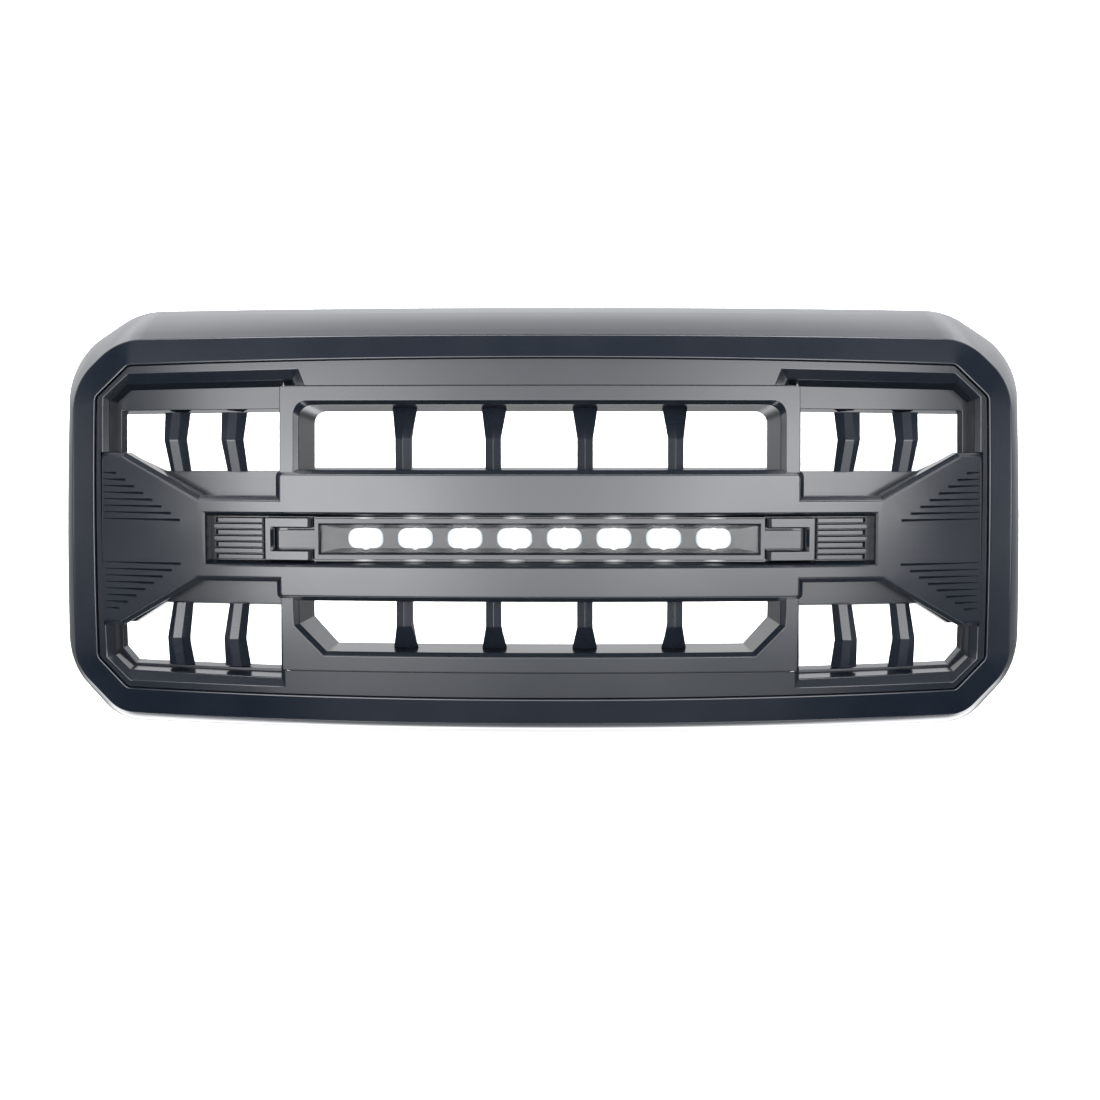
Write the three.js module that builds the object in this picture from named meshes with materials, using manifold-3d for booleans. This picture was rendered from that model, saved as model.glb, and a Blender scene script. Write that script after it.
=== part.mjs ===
// Front grille for a full-size pickup, moulded in satin black plastic, with a straight eight-LED light bar.
//
// Everything that follows the bowed face is drawn flat first: x to the viewer's right, z up, and y as the
// depth behind the face, so that y = 0 is the front of the centre bars. bend() then pushes each point back
// by the bow and the crown of the face. The light bar and the fasteners are straight, and are drawn in place.
// "left" and "right" are those of a viewer who stands in front of the grille.

import * as THREE from 'three';
import { mergeVertices } from 'three/addons/utils/BufferGeometryUtils.js';
import Module from 'manifold-3d';

const wasm = await Module();
wasm.setup();

// ---------------------------------------------------------------- driving dimensions, millimetres

const BOW_RADIUS = 2600;
const CROWN_RADIUS = 1840;
const CROWN_CENTRE_Z = -17;
const CELL_WIDTH = 120;
const CELL_HEIGHT = 90;

const WALL = 3;
const GAP = 0.8;
const OVERSHOOT = 1;
const ARC_STEPS = 3;
const CROWN_STEPS = 3;

// The three edges of the surround, from the inner lip over the front band to the rear rim
const LIP = {
  sideTop: 570.5, sideBottom: 573.5, top: 195.8, bottom: -218.8, crownTop: 7, crownBottom: 5,
  cornerTop: [43.5, 40.2], cornerBottom: [38.8, 39.6], radii: [12, 12, 10, 10],
};
const BAND = {
  sideTop: 603.5, sideBottom: 608, top: 228.6, bottom: -252.3, crownTop: 3.5, crownBottom: 5.5,
  cornerTop: [59, 55], cornerBottom: [58, 58], radii: [46, 55, 80, 80],
};
const RIM = {
  sideTop: 632, sideBottom: 636.5, top: 271.7, bottom: -270.2, crownTop: 0.4, crownBottom: 2,
  cornerTop: [98.5, 60.1], cornerBottom: [75, 77], radii: [69, 105, 84, 108],
};
const RIM_DEPTH_TOP = 105;
const RIM_DEPTH_SIDE = 75;
const RIM_DEPTH_BOTTOM = 65;
const RIM_BLEND_START = 110;
const RIM_BLEND_HEIGHT = 120;
const LIP_FRONT = 0.8;
const LIP_REAR = 7;
const BAND_DEPTH = 9;

// Insert panel: a field just behind the lip, with a stepped pocket round each side window
const FIELD_FRONT = 6;
const FIELD_SETBACK = 1.2;
const STEP_DEPTH = 14;
const FLOOR_DEPTH = 34;
const WINDOW_REAR = 46;
const FLANGE_DEPTH = 18;
const FLANGE_WIDTH = 22;
const WEB = { inner: 320, side: 563, bottom: -140, top: 90, wallBottom: -150, wallTop: 120 };
const INSERT_CUT_REAR = 60;
const CHANNEL_CUT = { halfWidth: 428, bottom: -60, top: 14 };

// Right-hand pockets, drawn counter-clockwise from the lower inner corner; the left ones are mirrored
const UPPER_POCKET = {
  field: [[294.5, 20], [561, 20], [561, 155.5], [527.5, 185.2], [302.3, 189.8], [294.5, 170]],
  step: [[311, 20], [554.4, 20], [554.4, 152], [530.5, 172.8], [311, 176.5], [308, 170]],
  floor: [[318, 20], [549.6, 20], [549.6, 149], [531, 165], [318, 168.7], [316, 160]],
  windowFront: [[331, 61.5], [484, 61.5], [527, 79.8], [543.5, 79.8], [543.5, 139], [331, 140.8]],
  windowRear: [[331, 63.8], [486, 63.8], [527, 82], [539.4, 82], [539.4, 134], [331, 136.4]],
};
const LOWER_POCKET = {
  field: [[323.5, -212], [531.5, -209.5], [562.5, -180], [562.5, -70], [323.5, -70]],
  step: [[330, -201.5], [533.5, -196.8], [552.5, -178.5], [552.5, -70], [327, -70]],
  floor: [[330, -196.5], [532, -193], [549.6, -176], [549.6, -70], [327, -70]],
  windowFront: [[331, -193.5], [530, -190.5], [547, -171], [547, -135.5], [529, -135.5], [486, -108.5], [331, -108.5]],
  windowRear: [[331, -190], [528.7, -187], [544.5, -169], [544.5, -137], [528, -137], [487, -111.1], [331, -111.1]],
};

// Bow-tie bar: two centre bars, arms and ribbed wings round one long channel
const BAR_TOP = 57.8;
const BAR_BOTTOM = -94.5;
const BAR_HALF_WIDTH = 325.2;
const ARM_TOP = 24.7;
const ARM_BOTTOM = -71.5;
const BAR_DEPTH = 32;
const BAR_OUTLINE_RIGHT = [
  [BAR_HALF_WIDTH, BAR_BOTTOM], [BAR_HALF_WIDTH, ARM_BOTTOM], [434.8, ARM_BOTTOM], [539.5, -131.2], [563, -131.2],
  [560, 79.2], [531.5, 79.2], [430.5, ARM_TOP], [BAR_HALF_WIDTH, ARM_TOP], [BAR_HALF_WIDTH, BAR_TOP],
];
const CHANNEL_CENTRE_Z = -23.4;
const CHANNEL_SECTIONS = [
  { y: -OVERSHOOT, halfWidth: 427, halfHeight: 35.7 },
  { y: 2.5, halfWidth: 424, halfHeight: 32.7 },
  { y: 22, halfWidth: 420.5, halfHeight: 28 },
  { y: BAR_DEPTH + OVERSHOOT, halfWidth: 420.5, halfHeight: 28 },
];
const CHANNEL_BACK = { inner: 285, outer: 423, front: 25.2, rear: 27.7, halfHeight: 30 };
const RIB_COUNT = 8;
const RIB_PITCH = 8.4;
const RIB_DEPTH = 2.2;
const RIB_OUTER_X = 557;
const UPPER_RIBS = { firstZ: 60.5, firstInnerX: 541, innerStep: -12.2 };
const LOWER_RIBS = { firstZ: -113, firstInnerX: 541, innerStep: -12.2 };

// Centre frames above and below the bars, each a face round a window with a tapered duct behind it
const FRAME_HALF_WIDTH = 326;
const FRAME_FRONT = 4;
const FRAME_FACE = 4;
const FRAME_DUCT_REAR = 80;
const FRAME_SKIRT_REAR = 33;
const FRAME_FLANGE = { front: 14.5, rear: 17.5, reach: 4 };
const UPPER_FRAME = {
  bottom: 58.5, top: 168.7, flangeZ: 168.7, flangeHalf: 303,
  windowFront: [[308.5, 61.4], [308.5, 135.4], [293.5, 150.4]],
  windowRear: [[293, 65.7], [293, 122.6], [278, 137.6]],
};
const LOWER_FRAME = {
  bottom: -190.5, top: -95.2, flangeZ: -190.5, flangeHalf: 318,
  windowFront: [[272.2, -171], [310, -132.6], [310, -98.4]],
  windowRear: [[264.2, -163.3], [295.6, -128.4], [295.6, -106.8]],
};

// Upright fins: four in each duct and two in each side window
const DUCT_FIN_X = [57.6, 171.4];
const DUCT_FIN = {
  ridge: 3, rear: 72, backTaper: 0.75, endWidth: 33, bodyWidth: 20, endFront: 46, creaseFront: 22, barFront: 26,
};
const DUCT_CREASE_Z = { upper: 103, lower: -135 };
const DUCT_FIN_GAP = 0.5;
const SIDE_FIN_X = [391, 467];
const SIDE_FIN = {
  noseWidth: 11, shoulder: 9, bodyWidth: 29, endWidth: 34, barWidth: 26, rear: 45, backWidth: 20,
  endFront: 30, creaseFront: 14, barFront: 20, lean: 5,
};
const SIDE_FIN_SPANS = {
  upper: { end: 133.4, crease: 101, bar: 64.6 },
  lower: { end: -187.2, crease: -153, bar: -112 },
};

// C-shaped trims and louvres that close the ends of the channel
const TRIM = {
  inner: 286.3, outer: 346.8, notch: 335.6, halfHeight: 27.2, notchHalf: 13.9, front: 8, rear: 20,
};
const LOUVRE = {
  inner: 350.6, outerShort: 408.8, outerLong: 414.1,
  front: 14, base: 21.5, rear: 24, slats: 7, pitch: 7.75, slat: 5.3,
};

// Light bar, straight, so its depths are absolute
const LAMP_Z = -23.2;
const LAMP_FRONT = 26;
const BEZEL = { halfWidth: 282.9, halfHeight: 26.4, rear: 40, seat: 30, windowWidth: 277.6, windowHeight: 19.8 };
const BEZEL_FLANGE = { halfHeight: 27.5, front: 30 };
const BEZEL_POCKET = { halfWidth: 279.6, halfHeight: 22.6 };
const BEZEL_THROAT = { halfWidth: 275.5, halfHeight: 17.2 };
const TONGUE = { outer: 327.6, halfHeight: 11.35, thickness: 3 };
const LENS = { halfWidth: 279, halfHeight: 22, front: 30.3, rear: 33.3 };
const GASKET = { front: 33.7, rear: 35.1, innerHalfWidth: 274.5, innerHalfHeight: 18.5 };
const REFLECTOR = {
  front: 35.4, floor: 44, rear: 46, skin: 1.5, flange: 1.6,
  rimHalfWidth: 273, rimHalfHeight: 16.6, floorHalfWidth: 252.7, floorHalfHeight: 12.6,
  flangeHalfWidth: 278.5, flangeHalfHeight: 21.5,
};
const OPTIC_COUNT = 8;
const OPTIC_PITCH = 62.9;
const OPTIC = {
  halfWidth: 22, halfHeight: 12.2, radius: 10.5, nubHalf: 2.4, nubHeight: 13.4, front: 42, rear: 52.2,
};
const OPTIC_CLEARANCE = 0.5;
const BOARD = { halfWidth: 262, halfHeight: 14, front: 53.8, rear: 55.4, chip: 5, chipFront: 52.6 };
const HOUSING = {
  halfWidth: 279, halfHeight: 25, front: 40.4, floor: 56, finRoot: 60, rear: 88, fins: 9, fin: 2.2,
};
const END_CAP = { inner: 279.4, outer: 284.3, front: 40.6, rear: 88 };
const CAP_FITTING = { y: 75, z: -36 };
const GLAND = { collarRadius: 8, collarLength: 4, radius: 6, length: 13 };
const BREATHER = { radius: 5, length: 4 };
const SEAT_GAP = 0.4;

// Steel parts
const SHEET = 2.5;
const LAMP_BRACKET = { inner: 284.7, outer: 331, front: 50, rear: 69.8, bottom: -12, top: 46 };
const LAMP_BOSS = { x: 312, z: 34, radius: 6, rear: 45.4, screwTip: 53.8 };
const CAP_SCREW = { y: 58, z: -5 };
const SCREW = { shank: 1.9, hole: 2.4, head: 4.2, headHeight: 2.8 };
const ROUND_SIDES = 10;
const SHELL_SCREW_X = [-400, 0, 400];
const SHELL_SCREW_OFFSET = 14;
const SHELL_BOSS = { radius: 4.2, front: 6.4, clearance: 3.2, holeFront: 8 };
const PAD_HALF = 9;
const PAD_REAR = 26;
const MOUNT_TAB = { width: 30, height: 28, reach: 142, holeRadius: 4 };

// ---------------------------------------------------------------- materials

const plastic = (color, roughness) => new THREE.MeshStandardMaterial({ color, roughness, metalness: 0 });
const metal = (color, roughness) => new THREE.MeshStandardMaterial({ color, roughness, metalness: 1 });
const MATERIALS = {
  shell: () => plastic(0x1d2128, 0.34),
  panel: () => plastic(0x2a2d33, 0.36),
  bar: () => plastic(0x2e3136, 0.32),
  fin: () => plastic(0x22262c, 0.4),
  lamp: () => plastic(0x26292e, 0.3),
  rubber: () => plastic(0x141414, 0.9),
  lens: () => new THREE.MeshStandardMaterial({
    color: 0xe8eef2, roughness: 0.05, transparent: true, opacity: 0.3,
  }),
  optic: () => new THREE.MeshStandardMaterial({ color: 0xf4f8ff, roughness: 0.1, emissive: 0xe8f0ff }),
  board: () => plastic(0xe9ebe6, 0.5),
  reflector: () => plastic(0x6f7073, 0.4),
  aluminium: () => metal(0x4a4c50, 0.45),
  steel: () => metal(0x6d7175, 0.4),
};

// ---------------------------------------------------------------- flat outlines, lists of [x, z]

const mirrored = (points) => points.map(([x, z]) => [-x, z]).reverse();
const symmetric = (rightHalf) => [...rightHalf, ...mirrored(rightHalf)];

function rectangle(halfWidth, halfHeight, centreX = 0, centreZ = 0) {
  const [left, right] = [centreX - halfWidth, centreX + halfWidth];
  const [low, high] = [centreZ - halfHeight, centreZ + halfHeight];
  return [[left, low], [right, low], [right, high], [left, high]];
}

function circle(radius, sides = ROUND_SIDES) {
  return Array.from({ length: sides }, (_, i) => {
    const angle = (2 * Math.PI * i) / sides;
    return [radius * Math.cos(angle), radius * Math.sin(angle)];
  });
}

// Replaces the corner at points[i] by an arc of radii[i]; a radius of 0 keeps the corner
function roundCorners(points, radii) {
  return points.flatMap((point, i) => {
    if (!radii[i]) return [point];
    const corner = new THREE.Vector2(...point);
    const back = new THREE.Vector2(...points.at(i - 1)).sub(corner).normalize();
    const ahead = new THREE.Vector2(...points[(i + 1) % points.length]).sub(corner).normalize();
    const halfAngle = Math.acos(back.dot(ahead)) / 2;
    const bisector = back.clone().add(ahead).normalize();
    const centre = corner.clone().addScaledVector(bisector, radii[i] / Math.sin(halfAngle));
    const start = corner.clone().addScaledVector(back, radii[i] / Math.tan(halfAngle)).sub(centre);
    const end = corner.clone().addScaledVector(ahead, radii[i] / Math.tan(halfAngle)).sub(centre);
    const sweep = Math.atan2(start.cross(end), start.dot(end));
    return Array.from({ length: ARC_STEPS + 1 }, (_, step) => {
      const spoke = start.clone().rotateAround(new THREE.Vector2(), (sweep * step) / ARC_STEPS).add(centre);
      return [spoke.x, spoke.y];
    });
  });
}

// Moves every edge of a counter-clockwise outline outward by the distance, or inward if it is negative
function outset(points, distance) {
  return points.map((point, i) => {
    const here = new THREE.Vector2(...point);
    const before = here.clone().sub(new THREE.Vector2(...points.at(i - 1))).normalize();
    const after = new THREE.Vector2(...points[(i + 1) % points.length]).sub(here).normalize();
    const miter = new THREE.Vector2(before.y + after.y, -before.x - after.x).normalize();
    const scale = distance / (miter.x * before.y - miter.y * before.x);
    return [here.x + miter.x * scale, here.y + miter.y * scale];
  });
}

// One edge of the surround: crowned top and bottom edges joined by chamfered and rounded corners
function edgeLoop({ sideTop, sideBottom, top, bottom, crownTop, crownBottom, cornerTop, cornerBottom, radii }) {
  const bottomX = sideBottom - cornerBottom[0];
  const topX = sideTop - cornerTop[0];
  const right = [];
  for (let i = 1; i < CROWN_STEPS; i += 1) {
    const part = i / CROWN_STEPS;
    right.push([bottomX * part, bottom - crownBottom * (1 - part ** 2)]);
  }
  right.push([bottomX, bottom], [sideBottom, bottom + cornerBottom[1]], [sideTop, top - cornerTop[1]], [topX, top]);
  for (let i = CROWN_STEPS - 1; i > 0; i -= 1) {
    const part = i / CROWN_STEPS;
    right.push([topX * part, top + crownTop * (1 - part ** 2)]);
  }
  const straight = Array(CROWN_STEPS - 1).fill(0);
  const rightRadii = [...straight, ...radii, ...straight];
  const points = [...right, [0, top + crownTop], ...mirrored(right), [0, bottom - crownBottom]];
  return roundCorners(points, [...rightRadii, 0, ...rightRadii.toReversed(), 0]);
}

// ---------------------------------------------------------------- closed solids

function facing(positions) {
  const geometry = new THREE.BufferGeometry();
  geometry.setAttribute('position', new THREE.Float32BufferAttribute(positions, 3));
  return geometry;
}

// Joins outlines of equal length, ordered front to back, each { outline, y } with y a number or a function
function loft(sections) {
  const rings = sections.map(({ outline, y }) =>
    outline.map(([x, z]) => [x, typeof y === 'function' ? y(x, z) : y, z]));
  const positions = [];
  for (let s = 0; s + 1 < rings.length; s += 1) {
    rings[s].forEach((point, i) => {
      const j = (i + 1) % rings[s].length;
      positions.push(...point, ...rings[s + 1][i], ...rings[s][j]);
      positions.push(...rings[s + 1][i], ...rings[s + 1][j], ...rings[s][j]);
    });
  }
  const [front, back] = [rings[0], rings.at(-1)];
  const frontPlane = front.map(([x, , z]) => new THREE.Vector2(x, z));
  const backPlane = back.map(([x, , z]) => new THREE.Vector2(x, z));
  for (const [a, b, c] of THREE.ShapeUtils.triangulateShape(frontPlane, [])) {
    positions.push(...front[a], ...front[b], ...front[c]);
  }
  for (const [a, b, c] of THREE.ShapeUtils.triangulateShape(backPlane, [])) {
    positions.push(...back[a], ...back[c], ...back[b]);
  }
  return facing(positions);
}

// Joins closed loops of 3-D points, the last one back to the first, into a ring
function ringOf(loops) {
  const positions = [];
  loops.forEach((loop, s) => {
    const next = loops[(s + 1) % loops.length];
    loop.forEach((point, i) => {
      const j = (i + 1) % loop.length;
      positions.push(...point, ...next[i], ...loop[j]);
      positions.push(...next[i], ...next[j], ...loop[j]);
    });
  });
  return facing(positions);
}

function shapeOf(outline) {
  return new THREE.Shape(outline.map(([x, z]) => new THREE.Vector2(x, z)));
}

// A plate or block with the given front outline, between two depths
function prism(outline, front, rear) {
  const geometry = new THREE.ExtrudeGeometry(shapeOf(outline), { depth: rear - front, bevelEnabled: false });
  return geometry.rotateX(Math.PI / 2).translate(0, rear, 0);
}

// A bar with the given [y, z] section, between two values of x
function barAlongX(section, start, end) {
  const geometry = new THREE.ExtrudeGeometry(shapeOf(section), { depth: end - start, bevelEnabled: false });
  return geometry.applyMatrix4(new THREE.Matrix4().set(0, 0, 1, start, 1, 0, 0, 0, 0, 1, 0, 0, 0, 0, 0, 1));
}

function box(x0, x1, y0, y1, z0, z1) {
  const geometry = new THREE.BoxGeometry(x1 - x0, y1 - y0, z1 - z0);
  return geometry.translate((x0 + x1) / 2, (y0 + y1) / 2, (z0 + z1) / 2);
}

const roundAlongY = (radius, front, rear, x, z) => prism(circle(radius), front, rear).translate(x, 0, z);
const roundAlongX = (radius, start, end, y, z) => barAlongX(circle(radius), start, end).translate(0, y, z);

function solidOf(geometry) {
  if (!geometry.isBufferGeometry) return geometry;
  const bare = new THREE.BufferGeometry().setAttribute('position', geometry.getAttribute('position').clone());
  if (geometry.index) bare.setIndex(geometry.index.clone());
  const merged = mergeVertices(bare, 1e-4);
  const mesh = new wasm.Mesh({
    numProp: 3,
    vertProperties: Float32Array.from(merged.getAttribute('position').array),
    triVerts: Uint32Array.from(merged.index.array),
  });
  mesh.merge();
  return new wasm.Manifold(mesh);
}

function geometryOf(solid) {
  if (solid.isBufferGeometry) return solid.index ? solid.toNonIndexed() : solid;
  const { vertProperties, triVerts, numProp } = solid.getMesh();
  const positions = [];
  for (const vertex of triVerts) {
    positions.push(...vertProperties.slice(vertex * numProp, vertex * numProp + 3));
  }
  return facing(positions);
}

const join = (...pieces) => pieces.map(solidOf).reduce((sum, piece) => sum.add(piece));
const cut = (body, ...tools) => tools.map(solidOf).reduce((rest, tool) => rest.subtract(tool), solidOf(body));

// The same piece on the other side of the grille
function mirrorX(geometry) {
  const source = geometryOf(geometry).getAttribute('position').array;
  const positions = [];
  for (let i = 0; i < source.length; i += 9) {
    for (const corner of [0, 6, 3]) {
      positions.push(-source[i + corner], source[i + corner + 1], source[i + corner + 2]);
    }
  }
  return facing(positions);
}

const bothSides = (piece) => [piece, mirrorX(piece)];

// ---------------------------------------------------------------- the bowed and crowned face

const bowDepth = (x) => BOW_RADIUS - Math.sqrt(BOW_RADIUS ** 2 - x ** 2);
const crownDepth = (z) => (z - CROWN_CENTRE_Z) ** 2 / (2 * CROWN_RADIUS);

// The depth curve taken in straight cells, so that a flat facet inside one cell stays flat
function inCells(curve, value, cell) {
  const low = Math.floor(value / cell) * cell;
  const part = (value - low) / cell;
  return curve(low) * (1 - part) + curve(low + cell) * part;
}

const faceDepth = (x, z) => inCells(bowDepth, x, CELL_WIDTH) + inCells(crownDepth, z, CELL_HEIGHT);

// Cuts one polygon along the plane where coordinate axis equals value, into its two sides
function splitPolygon(polygon, axis, value) {
  const sides = [[], []];
  polygon.forEach((here, i) => {
    const next = polygon[(i + 1) % polygon.length];
    const [now, then] = [here[axis] - value, next[axis] - value];
    if (now <= 0) sides[0].push(here);
    if (now >= 0) sides[1].push(here);
    if (now * then < 0) {
      const [low, high] = now < 0 ? [here, next] : [next, here];
      const part = (value - low[axis]) / (high[axis] - low[axis]);
      const crossing = low.map((coordinate, k) => coordinate + (high[k] - coordinate) * part);
      crossing[axis] = value;
      sides[0].push(crossing);
      sides[1].push(crossing);
    }
  });
  return sides.filter((side) => side.length > 2);
}

function splitAtCells(polygons, axis, cell, reach) {
  let result = polygons;
  for (let value = -reach; value <= reach; value += cell) {
    result = result.flatMap((polygon) => {
      const heights = polygon.map((point) => point[axis] - value);
      const crosses = Math.min(...heights) < 0 && Math.max(...heights) > 0;
      return crosses ? splitPolygon(polygon, axis, value) : [polygon];
    });
  }
  return result;
}

// Rounds coordinates that lie on a cell border within the noise of 32-bit numbers
function snapped(value, cell) {
  const border = Math.round(value / cell) * cell;
  return Math.abs(value - border) < 1e-3 ? border : value;
}

// Sets a flat drawing onto the face: every point moves back by the depth of the face there
function bend(piece) {
  const source = geometryOf(piece).getAttribute('position').array;
  let polygons = [];
  for (let i = 0; i < source.length; i += 9) {
    polygons.push([0, 3, 6].map((k) =>
      [snapped(source[i + k], CELL_WIDTH), source[i + k + 1], snapped(source[i + k + 2], CELL_HEIGHT)]));
  }
  polygons = splitAtCells(polygons, 0, CELL_WIDTH, 6 * CELL_WIDTH);
  polygons = splitAtCells(polygons, 2, CELL_HEIGHT, 4 * CELL_HEIGHT);
  const positions = [];
  for (const polygon of polygons) {
    for (let i = 1; i + 1 < polygon.length; i += 1) {
      for (const [x, y, z] of [polygon[0], polygon[i], polygon[i + 1]]) {
        positions.push(x, y + faceDepth(x, z), z);
      }
    }
  }
  return facing(positions);
}

// ---------------------------------------------------------------- the assembly

const grille = new THREE.Group();

function add(name, piece, material) {
  const bare = new THREE.BufferGeometry();
  bare.setAttribute('position', geometryOf(piece).getAttribute('position'));
  const geometry = mergeVertices(bare, 1e-4);
  geometry.computeVertexNormals();
  const mesh = new THREE.Mesh(geometry, MATERIALS[material]());
  mesh.name = name;
  grille.add(mesh);
}

function addPair(name, rightPiece, material) {
  add(`${name}_right`, rightPiece, material);
  add(`${name}_left`, mirrorX(rightPiece), material);
}

// Surround: a thin shell from the lip over the band to the rear rim, with bosses for the shell screws
function rimDepth(x, z) {
  const target = z > 0 ? RIM_DEPTH_TOP : RIM_DEPTH_BOTTOM;
  const blend = THREE.MathUtils.smoothstep(Math.abs(z), RIM_BLEND_START, RIM_BLEND_START + RIM_BLEND_HEIGHT);
  return RIM_DEPTH_SIDE + (target - RIM_DEPTH_SIDE) * blend - crownDepth(z);
}

function surroundShell() {
  const [lip, band, rim] = [LIP, BAND, RIM].map(edgeLoop);
  const at = (outline, y) => outline.map(([x, z]) => [x, typeof y === 'function' ? y(x, z) : y, z]);
  return ringOf([
    at(lip, LIP_REAR),
    at(lip, LIP_FRONT + 1.2),
    at(outset(lip, 2), LIP_FRONT),
    at(outset(band, -1.5), BAND_DEPTH - 1.4),
    at(band, BAND_DEPTH),
    at(rim, rimDepth),
    at(outset(rim, -WALL), rimDepth),
    at(outset(band, -WALL - 0.5), BAND_DEPTH + WALL + 0.5),
    at(outset(lip, WALL), LIP_FRONT + WALL + 1.2),
    at(outset(lip, WALL), LIP_REAR),
  ]);
}

// Where the shell screws sit: on a line round the lip, at the middle and near the ends of its top and bottom
function shellScrewPlaces() {
  const places = [];
  for (const x of SHELL_SCREW_X) {
    for (const [name, edge, crown, half, sign] of [
      ['upper', LIP.top, LIP.crownTop, LIP.sideTop - LIP.cornerTop[0], 1],
      ['lower', LIP.bottom, -LIP.crownBottom, LIP.sideBottom - LIP.cornerBottom[0], -1],
    ]) {
      const z = edge + crown * (1 - (x / half) ** 2) + sign * SHELL_SCREW_OFFSET;
      places.push({ x, z, name, sign, depth: faceDepth(x, z) });
    }
  }
  return places;
}

function surround() {
  const rear = FLANGE_DEPTH - SHELL_BOSS.clearance;
  const bosses = shellScrewPlaces().map(({ x, z, depth }) =>
    roundAlongY(SHELL_BOSS.radius, depth + SHELL_BOSS.front, depth + rear, x, z));
  const holes = shellScrewPlaces().map(({ x, z, depth }) =>
    roundAlongY(SCREW.hole, depth + SHELL_BOSS.holeFront, depth + FLANGE_DEPTH, x, z));
  return cut(join(bend(surroundShell()), ...bosses), ...holes);
}

// Insert panel: the field, four stepped pockets with their windows, a web behind the wings and a rear flange
function pocketBlock({ field, step, floor, windowFront }) {
  const bowl = loft([
    { outline: outset(field, WALL), y: FIELD_FRONT },
    { outline: outset(step, WALL), y: STEP_DEPTH },
    { outline: outset(floor, WALL), y: FLOOR_DEPTH },
    { outline: outset(floor, WALL), y: FLOOR_DEPTH + WALL },
  ]);
  return join(bowl, prism(outset(windowFront, WALL), FLOOR_DEPTH + 1, WINDOW_REAR));
}

function pocketSpace({ field, step, floor }) {
  return loft([
    { outline: field, y: FIELD_FRONT - OVERSHOOT },
    { outline: field, y: FIELD_FRONT },
    { outline: step, y: STEP_DEPTH },
    { outline: floor, y: FLOOR_DEPTH },
  ]);
}

function windowSpace({ windowFront, windowRear }) {
  return loft([
    { outline: windowFront, y: FLOOR_DEPTH - OVERSHOOT },
    { outline: windowFront, y: FLOOR_DEPTH },
    { outline: windowRear, y: WINDOW_REAR },
    { outline: windowRear, y: WINDOW_REAR + OVERSHOOT },
  ]);
}

function insertPanel() {
  const edge = outset(edgeLoop(LIP), -FIELD_SETBACK);
  const inner = outset(edge, -WALL);
  const pockets = [UPPER_POCKET, LOWER_POCKET];
  const plate = prism(edge, FIELD_FRONT, FIELD_FRONT + WALL);
  const skirt = cut(
    prism(edge, FIELD_FRONT + 1, FLANGE_DEPTH + WALL),
    prism(inner, FIELD_FRONT, FLANGE_DEPTH + 2 * WALL),
  );
  const flange = cut(
    prism(outset(edgeLoop(LIP), FLANGE_WIDTH), FLANGE_DEPTH, FLANGE_DEPTH + WALL),
    prism(inner, FLANGE_DEPTH - OVERSHOOT, FLANGE_DEPTH + 2 * WALL),
  );
  const webRear = FLOOR_DEPTH + WALL;
  const web = box(WEB.inner, WEB.side + WALL, FLOOR_DEPTH, webRear, WEB.bottom, WEB.top);
  const webWall = box(WEB.side, WEB.side + WALL, FIELD_FRONT + 1, webRear, WEB.wallBottom, WEB.wallTop);
  const blocks = [...pockets.map(pocketBlock), web, webWall].flatMap(bothSides);
  const spaces = pockets.map(pocketSpace).flatMap(bothSides);
  const windows = pockets.map(windowSpace).flatMap(bothSides);
  const barSpace = prism(outset(symmetric(BAR_OUTLINE_RIGHT), GAP), -OVERSHOOT, BAR_DEPTH + 1.4);
  const centreHalf = FRAME_HALF_WIDTH + GAP;
  const centreSpace = box(
    -centreHalf, centreHalf, 0, INSERT_CUT_REAR, LOWER_FRAME.bottom - GAP, UPPER_FRAME.top + GAP,
  );
  const { halfWidth, bottom, top } = CHANNEL_CUT;
  const channelSpace = box(-halfWidth, halfWidth, 0, INSERT_CUT_REAR, bottom, top);
  const solid = join(plate, skirt, flange, ...blocks);
  return withScrewPads(bend(cut(solid, ...spaces, ...windows, barSpace, centreSpace, channelSpace)));
}

function withScrewPads(body) {
  const pads = shellScrewPlaces().map(({ x, z, depth }) =>
    prism(rectangle(PAD_HALF, PAD_HALF, x, z), depth + FLANGE_DEPTH + 1.5, depth + PAD_REAR));
  const holes = shellScrewPlaces().map(({ x, z, depth }) =>
    roundAlongY(SCREW.hole, depth + FLANGE_DEPTH - 6, depth + PAD_REAR + OVERSHOOT, x, z));
  return cut(join(body, ...pads), ...holes);
}

// Bow-tie bar: one moulding, hollow from the rear, with the channel walls and saw-tooth ribs on the wings
function channelLoft(extra) {
  return loft(CHANNEL_SECTIONS.map(({ y, halfWidth, halfHeight }) =>
    ({ outline: rectangle(halfWidth + extra, halfHeight + extra, 0, CHANNEL_CENTRE_Z), y })));
}

function ribGrooves({ firstZ, firstInnerX, innerStep }, direction) {
  return Array.from({ length: RIB_COUNT }, (_, i) => {
    const z = firstZ + direction * i * RIB_PITCH;
    const section = [[-OVERSHOOT, z], [RIB_DEPTH, z], [-OVERSHOOT, z - RIB_PITCH + 1]];
    return barAlongX(section.toReversed(), firstInnerX + innerStep * i, RIB_OUTER_X);
  });
}

// Plate that closes one end of the channel behind its trim and louvre
function channelBack() {
  const { inner, outer, front, rear, halfHeight } = CHANNEL_BACK;
  return box(inner, outer, front, rear, CHANNEL_CENTRE_Z - halfHeight, CHANNEL_CENTRE_Z + halfHeight);
}

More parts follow.
